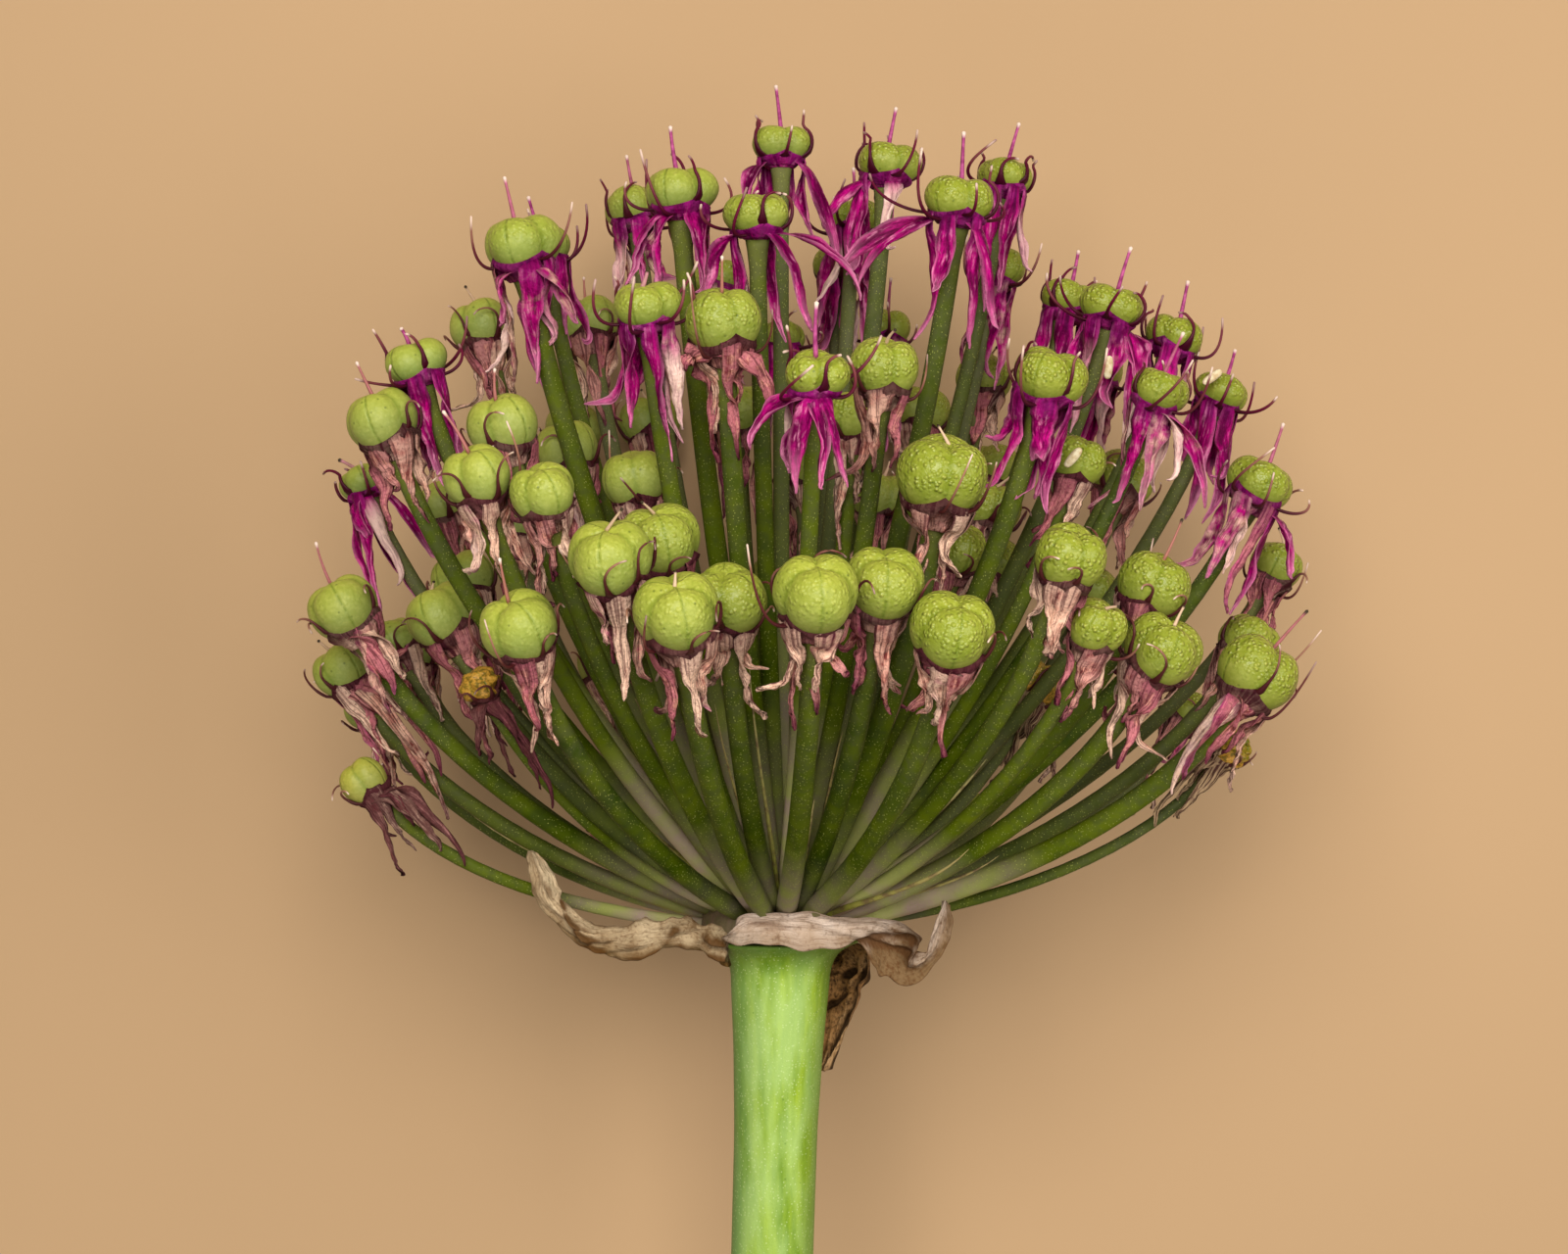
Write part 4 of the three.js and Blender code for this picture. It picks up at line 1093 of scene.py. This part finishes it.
def pedicel_skin():
    """Olive-green pedicel: fine pale specks, streaks along it, and a mauve to cream foot."""
    finish = Finish("pedicel_skin", IOR=1.4, Specular_IOR_Level=0.04)
    along = finish.trait("along")
    tone = finish.trait("tone")
    broad = finish.noise(4.0, detail=2)
    streak = finish.noise(1.2, detail=3)
    grey = finish.trait("grey") * 0.55 + along.above(0.65, 0.35) * (0.2 + 0.3 * streak.above(0.5, 0.1))
    foot = 1 - along.above(0.12 + 0.2 * tone, 0.16)
    foot_colour = finish.mix(broad.above(0.5, 0.12), (0.52, 0.37, 0.30), (0.48, 0.48, 0.17))
    dust = finish.noise(2.4, detail=2).above(0.42, 0.15)
    speck = finish.dots(0.3, 0.2, 0.06) * dust
    colour = finish.layered(
        finish.mix(tone, (0.022, 0.044, 0.0001), (0.084, 0.119, 0.0005)),
        (broad.above(0.56, 0.2) * 0.6, (0.13, 0.165, 0.002)),
        (streak.above(0.56, 0.1) * 0.4, (0.014, 0.030, 0.0003)),
        (grey, (0.125, 0.125, 0.058)),
        (foot * (0.2 + 0.8 * tone), foot_colour),
        (along.above(0.93, 0.05) * 0.35, (0.19, 0.19, 0.05)),
        (speck * 0.6, (0.42, 0.45, 0.10)),
    )
    height = streak * 0.6 + speck * 0.5
    return finish.finished(Base_Color=colour, Roughness=0.36 + 0.2 * broad, Normal=finish.bump(height, 0.06))


def petal_skin():
    """Withered petal: magenta with pale streaks and edges while fresh, brown, pink and cream when dry."""
    finish = Finish("petal_skin", IOR=1.38, Specular_IOR_Level=0.06)
    along = finish.trait("along")
    across = finish.trait("across")
    dry = finish.trait("dry")
    tone = finish.trait("tone")
    streak = finish.noise(1.0, 3, 0.65, finish.sheet_way(across * 2.6, along * 5.0, tone * 40.0))
    vein = finish.noise(1.0, 2, vector=finish.sheet_way(across * 6.0, along * 3.0, tone * 90.0))
    broad = finish.noise(1.0, 2, vector=finish.sheet_way(across * 1.3, along * 2.6, tone * 60.0))
    patch = finish.noise(1.2, detail=3)
    fine = finish.noise(0.3, detail=3)
    edge = across.math("ABSOLUTE").above(0.85, 0.2)
    root = 1 - along.above(0.2, 0.12)

    pale = streak.above(0.60, 0.06) * patch.above(0.48, 0.1) * 0.8
    pale = pale + edge * along + along.above(0.84, 0.2) * 0.8
    white = tone.above(0.88, 0.03) * along.above(0.34, 0.1) * (0.45 + 0.5 * streak.above(0.45, 0.08))
    collar = finish.mix(patch.above(0.5, 0.1), (0.060, 0.0006, 0.036), (0.24, 0.010, 0.15))
    fresh = finish.layered(
        finish.mix(broad.above(0.5, 0.12), (0.12, 0.0006, 0.045), (0.50, 0.003, 0.19)),
        ((1 - streak.above(0.44, 0.06)) * 0.7, (0.060, 0.0003, 0.022)),
        (fine.above(0.60, 0.1) * 0.35, (0.09, 0.001, 0.04)),
        (pale.clamped() * 0.65, (0.95, 0.34, 0.54)),
        (white, (0.95, 0.66, 0.56)),
        (root * 0.8, collar),
    )

    cream = tone.above(0.74, 0.14) * streak.above(0.42, 0.1)
    stain = (1 - tone).above(0.56, 0.14) * patch.above(0.42, 0.1)
    tip = along.above(0.82, 0.12) * (1 - tone).above(0.35, 0.1)
    rim = 1 - along.above(0.13, 0.03)
    old = finish.layered(
        finish.mix(streak.above(0.5, 0.08), (0.21, 0.047, 0.040), (0.88, 0.41, 0.30)),
        (patch.above(0.47, 0.1) * 0.85, (0.98, 0.62, 0.45)),
        (cream * 0.8, (0.95, 0.66, 0.48)),
        (stain * 0.7, (0.42, 0.022, 0.12)),
        (fine.above(0.58, 0.06) * 0.45, (0.085, 0.018, 0.016)),
        (vein.above(0.55, 0.04) * 0.66 + edge * 0.35, (0.060, 0.011, 0.012)),
        (root * 0.6, (0.075, 0.012, 0.028)),
        (tip * 0.75, (0.11, 0.008, 0.034)),
        (rim * 0.8, (0.030, 0.004, 0.007)),
    )

    age = (dry + 0.8 * (patch - 0.5)).above(0.5, 0.16)
    spent = finish.trait("spent") * (0.5 + 0.5 * streak.above(0.42, 0.1))
    straw = finish.trait("straw") * (0.5 + 0.5 * patch.above(0.45, 0.1))
    straw_colour = finish.mix(vein.above(0.52, 0.06), (0.46, 0.31, 0.17), (0.06, 0.028, 0.018))
    colour = finish.layered(
        fresh,
        (age, old),
        (spent * 0.9, (0.070, 0.018, 0.020)),
        (straw * 0.9, straw_colour),
    )
    height = finish.noise(0.45, detail=4) * 1.2 + streak * 0.8
    rough = 0.42 + 0.3 * dry
    return finish.finished(Base_Color=colour, Roughness=rough, Normal=finish.bump(height, 0.2))


def filament_skin():
    """Filament and style: dark maroon or magenta, with a pale tip or a dark knob."""
    finish = Finish("filament_skin", IOR=1.4, Specular_IOR_Level=0.2)
    along = finish.trait("along")
    dry = finish.trait("dry")
    pale = finish.noise(5.0, detail=0).above(0.48, 0.06)
    tip_colour = finish.mix(finish.trait("knob"), (0.85, 0.66, 0.55), (0.045, 0.030, 0.016))
    thread = finish.layered(
        finish.mix(dry, (0.045, 0.0015, 0.010), (0.055, 0.010, 0.010)),
        (along.above(0.5, 0.3), finish.mix(dry, (0.13, 0.006, 0.030), (0.12, 0.035, 0.026))),
        (along.above(0.7, 0.2) * pale * (0.2 + 0.6 * dry), (0.48, 0.24, 0.15)),
        (along.above(0.93, 0.04) * (0.3 + 0.6 * pale), (0.80, 0.60, 0.48)),
    )
    spike = finish.layered(
        finish.mix(finish.noise(0.8).above(0.5, 0.2), (0.22, 0.012, 0.10), (0.56, 0.11, 0.30)),
        (dry, (0.42, 0.17, 0.12)),
        (finish.trait("stub") * (0.4 + 0.6 * dry), (0.72, 0.50, 0.33)),
        (along.above(0.92, 0.05), tip_colour),
    )
    colour = finish.mix(finish.trait("style"), thread, spike)
    return finish.finished(Base_Color=colour, Roughness=0.42)


def anther_skin():
    """Anther: cream, on a thread that is tan to brown."""
    finish = Finish("anther_skin", IOR=1.4, Specular_IOR_Level=0.2)
    grain = finish.mix(finish.noise(0.5).above(0.5, 0.15), (0.84, 0.74, 0.50), (0.58, 0.42, 0.22))
    colour = finish.mix(finish.trait("along").above(0.75, 0.1), (0.46, 0.22, 0.12), grain)
    return finish.finished(Base_Color=colour, Roughness=0.6, Normal=finish.bump(finish.noise(0.3), 0.06))


def dry_stem_skin():
    """Dry thread: cream to tan with olive and brown stretches."""
    finish = Finish("dry_stem_skin", IOR=1.4, Specular_IOR_Level=0.3)
    patch = finish.noise(1.5, detail=3)
    colour = finish.mix(finish.trait("tone"), (0.62, 0.50, 0.26), (0.42, 0.24, 0.13))
    colour = finish.mix(finish.trait("along").above(0.5, 0.4) * 0.6, (0.30, 0.30, 0.04), colour)
    colour = finish.mix(patch.above(0.56, 0.08) * 0.8, colour, (0.16, 0.09, 0.05))
    return finish.finished(Base_Color=colour, Roughness=0.6, Normal=finish.bump(finish.noise(0.4), 0.08))


# Stalk, receptacle and papery bract

# The stalk's radius at heights, then from which height up its rings lie closer, how many lie below and
# above that, the chamfer at its cut, how many rings each radius is averaged over, the radius of its flat
# top, how far it leans to the left for each millimetre down, and its faint flutes
STALK_RINGS = [
    (4.2, -38), (4.2, -34), (4.25, -22), (4.6, -13), (5.15, -5.3), (5.6, -4.1), (6.4, -3.2), (7.9, -2.6),
]
STALK_FLARES_AT = -6
STALK_STEPS = (40, 16)
STALK_CHAMFER = SimpleNamespace(inward=0.35, height=0.3)
STALK_EASING = 5
STALK_PLATE = 7.6
STALK_LEAN = 0.029
STALK_FLUTES = SimpleNamespace(count=7, depth=0.006, uneven=0.008)
STALK_SIDES = 72


def turned(profile, sides):
    """Rings round the stalk's axis from (radius, height) pairs."""
    radius, height = np.array(profile, float).T[..., None]
    turns = -full_circle(sides)
    across_up_near = np.broadcast_arrays(radius * np.cos(turns), height, radius * np.sin(turns))
    return np.stack(across_up_near, axis=-1), turns


def stalk_rings():
    """The stalk: its radius eased by a running mean, chamfered at the cut, faintly fluted, and leaning."""
    radius, height = np.array(STALK_RINGS, float).T
    plain_steps, flared_steps = STALK_STEPS
    plain = np.linspace(height[0], STALK_FLARES_AT, plain_steps, endpoint=False)
    flared = np.linspace(STALK_FLARES_AT, height[-1], flared_steps)
    fine_height = np.concatenate([plain, flared])
    padded = np.pad(np.interp(fine_height, height, radius), STALK_EASING // 2, mode="edge")
    eased = np.convolve(padded, np.ones(STALK_EASING) / STALK_EASING, mode="valid")
    eased[-1] = radius[-1]
    fine_height[0] += STALK_CHAMFER.height
    rings, turns = turned([
        (eased[0] - STALK_CHAMFER.inward, height[0]),
        *zip(eased, fine_height),
        (radius[-1], STALK_TOP - 0.05),
        (STALK_PLATE, STALK_TOP),
    ], STALK_SIDES)
    uneven = wobble(77, np.cos(turns), np.sin(turns))
    flute = 1 + STALK_FLUTES.depth * np.cos(STALK_FLUTES.count * turns) + STALK_FLUTES.uneven * uneven
    rings[..., 0] *= flute
    rings[..., 2] *= flute
    rings[..., 0] += STALK_LEAN * (rings[..., 1] - STALK_TOP)
    return rings


def stalk_skin():
    """Bright green stalk: a pale bloom in long patches, specks and streaks, painted shade on both edges as
    seen from above and bluish on its left, and a darker green top that is partly painted shade under the
    bract.
    """
    finish = Finish("stalk_skin", IOR=1.4, Specular_IOR_Level=0.3)
    streak = finish.noise(1.1, detail=4, vector=finish.place(stretch=(1, 0.12, 1)))
    patch = finish.noise(3.5, detail=3, vector=finish.place(stretch=(1, 0.3, 1)))
    side = finish.trait("side")
    colour = finish.layered(
        finish.mix(streak.above(0.5, 0.16), (0.155, 0.275, 0.012), (0.33, 0.47, 0.035)),
        (patch.above(0.5, 0.1) * 0.6, (0.42, 0.60, 0.20)),
        # Painted shade: darker at both edges of the stalk as seen from above, and bluish on its left edge
        (side.math("ABSOLUTE").above(0.8, 0.22) * 0.75, (0.12, 0.24, 0.020)),
        ((0.0 - side).above(0.7, 0.2) * 0.45, (0.12, 0.26, 0.10)),
        # Darker green at its top, partly painted shade under the bract
        (finish.trait("rise").above(0.95, 0.05) * 0.8, (0.09, 0.19, 0.012)),
        (finish.dots(0.36, 0.2, 0.08) * 0.45, (0.62, 0.74, 0.34)),
        (finish.dots(1.9, 0.06, 0.02) * 0.6, (0.10, 0.20, 0.02)),
    )
    height = streak * 0.5 + finish.noise(0.3)
    return finish.finished(Base_Color=colour, Roughness=0.42 + 0.2 * patch, Normal=finish.bump(height, 0.05))


def receptacle_skin():
    """Receptacle: painted shade, dark olive and mauve-brown in broad patches, in place of its own pale
    cream-green.
    """
    finish = Finish("receptacle_skin", IOR=1.4)
    broad = finish.noise(1.6, detail=3)
    colour = finish.mix(broad.above(0.5, 0.2), (0.11, 0.10, 0.035), (0.17, 0.11, 0.07))
    return finish.finished(Base_Color=colour, Roughness=0.6, Normal=finish.bump(finish.noise(0.6), 0.15))


def bract_skin(name, light, middle, dark, brown):
    """Papery bract: fine veins along it, darker blotches, painted shade in its creases and folds, brown
    edges and stretches, and browner towards its lower edge.
    """
    finish = Finish(name, IOR=1.4, Specular_IOR_Level=0.2)
    across = finish.trait("across")
    along = finish.trait("along")
    shade = finish.trait("shade")
    brownness = finish.trait("brown")
    vein = finish.noise(0.6, 4, 0.6, finish.sheet_way(across * 12.0, along * 8.0, shade * 0.3))
    blotch = finish.noise(2.2, detail=4, rough=0.6)
    fine = finish.noise(0.4, detail=3)
    # Browner towards each lobe's lower edge
    lower = 1 - across.above(0.40, 0.22)
    stain = brownness * (0.35 + 1.1 * blotch) + lower * 0.55
    mottle = fine.above(0.52, 0.08) * brownness * 0.5
    edge = (across - 0.5).math("ABSOLUTE").above(0.48, 0.025)
    # Painted shade in the creases and folds, where the crumpled sheet lies deepest
    crease = (1 - shade).above(0.78, 0.16)
    colour = finish.layered(
        finish.mix(blotch.above(0.5, 0.14), light, middle),
        (stain, brown),
        (vein.above(0.57, 0.07) * 0.42, dark),
        (fine.above(0.62, 0.05) * 0.35 + mottle, dark),
        (blotch.above(0.66, 0.05) * 0.8, dark),
        (edge * 0.6, dark),
        (crease * 0.9, dark),
    )
    height = vein * 0.9 + fine * 0.8 + blotch * 0.8
    return finish.finished(Base_Color=colour, Roughness=0.72 + 0.12 * vein, Normal=finish.bump(height, 0.22))


# Lobes of the bract: points on the lower and the upper edge of each, and how brown it is there
LEFT_LOBE = [
    ((-5.2, -5.0, 4.6), (-5.4, -1.4, 6.6), 0.55),
    ((-7.6, -3.9, 4.4), (-7.7, -0.5, 6.2), 0.5),
    ((-10.9, -3.0, 5.0), (-10.6, 0.1, 6.0), 0.35),
    ((-14.5, -4.1, 5.8), (-13.6, -0.1, 6.4), 0.3),
    ((-18.2, -3.3, 6.2), (-16.2, -0.6, 6.8), 0.4),
    ((-21.6, -1.5, 6.2), (-19.0, -0.2, 6.8), 0.25),
    ((-24.6, 1.6, 5.8), (-21.8, 2.3, 6.6), 0.1),
    ((-25.6, 4.6, 5.4), (-22.6, 4.3, 6.2), 0.0),
    ((-25.5, 7.0, 5.0), (-24.4, 6.8, 5.4), 0.0),
]
FRONT_LOBE = [
    ((-5.6, -1.6, 6.9), (-5.1, -0.8, 7.5), 0.0),
    ((-4.0, -1.7, 8.6), (-3.2, 1.2, 9.7), 0.0),
    ((0.0, -1.8, 9.6), (0.8, 1.6, 10.7), 0.0),
    ((4.8, -2.1, 8.6), (5.8, 1.3, 10.0), 0.05),
    ((8.4, -2.6, 6.8), (10.6, 0.7, 8.4), 0.2),
    # Brown here is partly painted shade inside the fold where the band turns into its hook
    ((10.2, -4.8, 5.5), (14.0, -1.2, 7.3), 1.0),
    ((12.3, -6.0, 5.5), (12.9, -4.0, 6.9), 0.9),
    ((15.3, -4.1, 5.8), (14.2, -2.7, 7.0), 0.45),
    ((16.9, -1.1, 6.0), (14.9, -0.8, 7.0), 0.4),
    ((16.8, 1.7, 6.2), (16.1, 2.2, 6.6), 0.4),
]
BACK_LOBE = [
    ((-6.4, -3.8, -4.8), (-6.0, -3.0, -4.0), 1.0),
    ((-5.2, -4.6, -8.0), (-4.6, -3.0, -7.2), 1.0),
    ((0.0, -5.1, -10.2), (0.0, -3.0, -9.0), 1.0),
    ((4.6, -5.6, -8.6), (5.6, -3.0, -7.4), 1.0),
    ((4.9, -6.6, -6.4), (9.2, -4.0, -4.6), 1.0),
    ((4.7, -8.2, -5.4), (8.8, -7.4, -4.0), 1.0),
    ((4.5, -10.4, -4.9), (7.9, -10.0, -3.9), 0.7),
    ((4.3, -13.6, -4.7), (6.3, -13.4, -4.1), 0.4),
    ((4.1, -16.4, -4.6), (4.9, -16.2, -4.2), 0.5),
]

# Folds of each lobe: how far along it, how far that shifts from its middle to its upper edge, and depth.
# Then how much of the length a fold takes, and how deeply each lobe is cupped, crumpled, ragged and bent
LEFT_FOLDS = [(0.61, 0.14, 1.0), (0.28, -0.05, 0.5)]
FRONT_FOLDS = [(0.50, 0.10, 0.9), (0.58, 0.16, 1.3)]
BACK_FOLDS = [(0.55, 0.05, 1.0), (0.66, -0.08, 0.9), (0.75, 0.06, 0.6)]
FOLD_WIDTH = 0.028
CUPPED = 0.25
CRUMPLE = SimpleNamespace(wave=0.45, ridge=1.3, small=0.2)
RAGGED = SimpleNamespace(broad=0.14, fine=0.10)
BRACT_BEND = 0.3
BRACT_STEPS = 120
BRACT_COLUMNS = 25
BRACT_THICKNESS = 0.16


def bract_lobe(name, edges, folds, seed, crumple, roll, material, slot, node):
    """A lobe of the bract: straight from lower to upper edge, then cupped, rolled, crumpled and folded."""
    along = np.linspace(0, 1, BRACT_STEPS)
    share = np.linspace(-1, 1, BRACT_COLUMNS)[None, :]
    lower_edge, upper_edge, browns = zip(*edges)
    lower = through(lower_edge, along)
    upper = through(upper_edge, along)
    brown = np.interp(along, np.linspace(0, 1, len(edges)), browns)[:, None]
    middle = (lower + upper) / 2
    breadth = upper - lower
    ragged = 1 + RAGGED.broad * wobble(seed, along * 7) + RAGGED.fine * wobble(seed + 1, along * 19)
    half = np.linalg.norm(breadth, axis=-1) / 2 * ragged
    across = unit(breadth)
    heading = unit(np.gradient(middle, axis=0))
    normal = unit(np.cross(heading, across))
    cup = -CUPPED * half[:, None] * (1 - share ** 2)
    curl = roll * half[:, None] * np.abs(share) ** 5
    step = along[:, None]
    wave = CRUMPLE.wave * wobble(seed + 2, step * 1.5, share * 1.6)
    ridge = CRUMPLE.ridge * (0.3 - np.abs(wobble(seed + 4, step * 3.5, share * 0.9)))
    small = CRUMPLE.small * wobble(seed + 3, step * 9, share * 2.2)
    lift = cup + curl + crumple * (0.7 + 0.6 * brown) * (wave + ridge + small)
    for at, slant, depth in folds:
        lift = lift - depth * np.exp(-(((step - at - slant * share) / FOLD_WIDTH) ** 2))
    # How high each point stands in its crumples and folds, which the finish turns into painted shade where
    # it lies low
    shade = np.clip(0.55 + 0.9 * (lift - cup), 0, 1)
    bend = np.full(BRACT_STEPS, BRACT_BEND)
    skin = Skin()
    skin.add(
        strap(middle, across, normal, half, bend, lift, BRACT_THICKNESS, BRACT_COLUMNS),
        middle[0], middle[-1] + heading[-1] * 0.2,
        along=step,
        across=there_and_back(0.5 + 0.5 * share),
        shade=there_and_back(shade),
        brown=brown,
    )
    skin.piece(name, material, slot, node)


def dress_head():
    """Every floret in fine skins, one piece for each part of the head and each finish."""
    finishes = {
        "pedicels": pedicel_skin(),
        "capsules": capsule_skin(),
        "petals": petal_skin(),
        "filaments": filament_skin(),
    }
    skins = {}
    florets = all_florets()
    for floret in florets:
        part = {kind: skins.setdefault((kind, floret.sector), Skin()) for kind in finishes}
        add_pedicel(part["pedicels"], floret)
        add_capsule(part["capsules"], floret)
        add_cup(part["petals"], floret)
        add_style(part["filaments"], floret)
        swept = SWEPT_PETALS.get(floret.number, [])
        for k in range(6):
            add_petal(part["petals"], floret, k, swept[k] if k < len(swept) else None)
            add_filament(part["filaments"], floret, k)
    for (kind, sector), skin in skins.items():
        skin.piece(f"{kind}_{sector}", finishes[kind], "florets", "umbel")
    grains = Skin()
    for number, *place in ANTHERS:
        add_anther(grains, florets[number], *place)
    grains.piece("anthers", anther_skin(), "florets", "umbel")
    threads = Skin()
    for number in range(DRY_STEMS):
        add_dry_stem(threads, number)
    threads.piece("dry_stems", dry_stem_skin(), "florets", "umbel")


def dress_receptacle():
    """The receptacle: a quarter ellipse turned round the stalk's axis over a flat underside."""
    climb = np.linspace(0, 0.49 * math.pi, DOME_RINGS)
    arc = list(zip(DOME.radius * np.cos(climb), DOME.up + DOME.rise * np.sin(climb)))
    rings, _ = turned([(0.3, DOME.underside), (0.9 * DOME.radius, DOME.underside), *arc], DOME_SIDES)
    skin = Skin()
    skin.add(rings, np.array([0, DOME.underside, 0]), np.array([0, DOME.up + DOME.rise, 0]))
    skin.piece("receptacle", receptacle_skin(), "florets", "umbel")


def dress_stalk():
    """The stalk, with how far across it and how far up it each point lies."""
    rings = stalk_rings()
    height = rings[..., 1]
    centre = STALK_LEAN * (height - STALK_TOP)
    skin = Skin()
    skin.add(
        rings, rings[0].mean(axis=0), rings[-1].mean(axis=0),
        # The side runs from -1 at the stalk's left edge to 1 at its right, for its painted shade; the rise
        # places the painted shade under the bract
        side=(rings[..., 0] - centre) / np.abs(rings[..., 0] - centre).max(axis=1, keepdims=True),
        rise=(height - height.min()) / (height.max() - height.min()),
    )
    skin.piece("stalk", stalk_skin(), "stalk", "scape")


def dress_bract():
    """The bract's three lobes, each with a paper finish of its own."""
    cream = bract_skin(
        "bract_cream_skin",
        light=(0.76, 0.59, 0.37), middle=(0.54, 0.39, 0.23),
        dark=(0.10, 0.040, 0.007), brown=(0.15, 0.080, 0.020),
    )
    mauve = bract_skin(
        "bract_mauve_skin",
        light=(0.86, 0.70, 0.58), middle=(0.62, 0.46, 0.34),
        dark=(0.12, 0.050, 0.015), brown=(0.21, 0.125, 0.055),
    )
    dry = bract_skin(
        "bract_dry_skin",
        light=(0.74, 0.48, 0.24), middle=(0.42, 0.23, 0.09),
        dark=(0.022, 0.009, 0.002), brown=(0.34, 0.17, 0.055),
    )
    bract_lobe(
        "bract_left", LEFT_LOBE, LEFT_FOLDS, seed=21, crumple=1.1, roll=0.4,
        material=cream, slot="bract", node="spathe_left",
    )
    bract_lobe(
        "bract_front", FRONT_LOBE, FRONT_FOLDS, seed=22, crumple=0.8, roll=0.3,
        material=mauve, slot="bract", node="spathe_front",
    )
    bract_lobe(
        "bract_back", BACK_LOBE, BACK_FOLDS, seed=23, crumple=1.25, roll=0.3,
        material=dry, slot="bract_dry", node="spathe_back",
    )


# Surface, lights and camera

# The picture's width at the stalk and the sensor's, in millimetres, and the surface's half width in metres
IMAGE_WIDTH = 160.0
SENSOR = 36.0
SURFACE_REACH = 3.0
SURFACE_COLOUR = (0.53, 0.34, 0.18)

# Lights: name, place in the head's millimetres, width in metres, power in watts, colour
LIGHTS = [
    ("key", (-30, 165, 420), 0.26, 2.0, (1.0, 0.97, 0.92)),
    ("fill", (260, 60, 300), 0.25, 0.75, (1.0, 0.97, 0.93)),
    ("low", (-120, -260, 320), 0.3, 0.35, (1.0, 0.96, 0.92)),
]
LIGHT_AIM = (0, 35, 0)
ROOM = SimpleNamespace(colour=(1.0, 0.95, 0.88, 1), strength=0.145)


def lay_surface():
    """A plain pale surface under the head, wide enough to fill any view."""
    mesh = bpy.data.meshes.new("surface")
    corners = [(x * SURFACE_REACH, y * SURFACE_REACH, 0) for x, y in ((-1, -1), (1, -1), (1, 1), (-1, 1))]
    mesh.from_pydata(corners, [], [(0, 1, 2, 3)])
    finish = Finish("surface_finish", Roughness=0.9)
    mesh.materials.append(finish.finished(Base_Color=SURFACE_COLOUR))
    surface = bpy.data.objects.new("surface", mesh)
    bpy.context.scene.collection.objects.link(surface)


def soft_light(name, place, size, power, colour):
    """A square area light, aimed at the head's middle."""
    light = bpy.data.lights.new(name, "AREA")
    light.size = size
    light.energy = power
    light.color = colour
    lamp = bpy.data.objects.new(name, light)
    aim = (HEART + LIGHT_AIM) * MM
    lamp.location = (HEART + place) * MM
    way = np.array(lamp.location) - aim
    turn = math.atan2(way[1], way[0]) + math.pi / 2
    tilt = math.atan2(math.hypot(way[0], way[1]), way[2])
    lamp.rotation_euler = (tilt, 0, turn)
    bpy.context.scene.collection.objects.link(lamp)


def light_studio():
    """Three soft lights, and an even glow from all round."""
    for light in LIGHTS:
        soft_light(*light)
    world = bpy.data.worlds.new("studio")
    world.use_nodes = True
    background = world.node_tree.nodes["Background"]
    background.inputs["Color"].default_value = ROOM.colour
    background.inputs["Strength"].default_value = ROOM.strength
    bpy.context.scene.world = world


def place_camera():
    """Straight above, so that the eye's distance and the sensor give the picture's width at the stalk."""
    camera = bpy.data.cameras.new("camera")
    camera.sensor_width = SENSOR
    camera.lens = SENSOR * EYE.distance / IMAGE_WIDTH
    camera.clip_start = 0.01
    eye = bpy.data.objects.new("camera", camera)
    eye.location = (HEART + (EYE.across, EYE.up, EYE.distance)) * MM
    bpy.context.scene.collection.objects.link(eye)
    bpy.context.scene.camera = eye


bpy.context.scene.view_settings.view_transform = "Standard"
place_camera()
dress_head()
dress_receptacle()
dress_stalk()
dress_bract()
lay_surface()
light_studio()
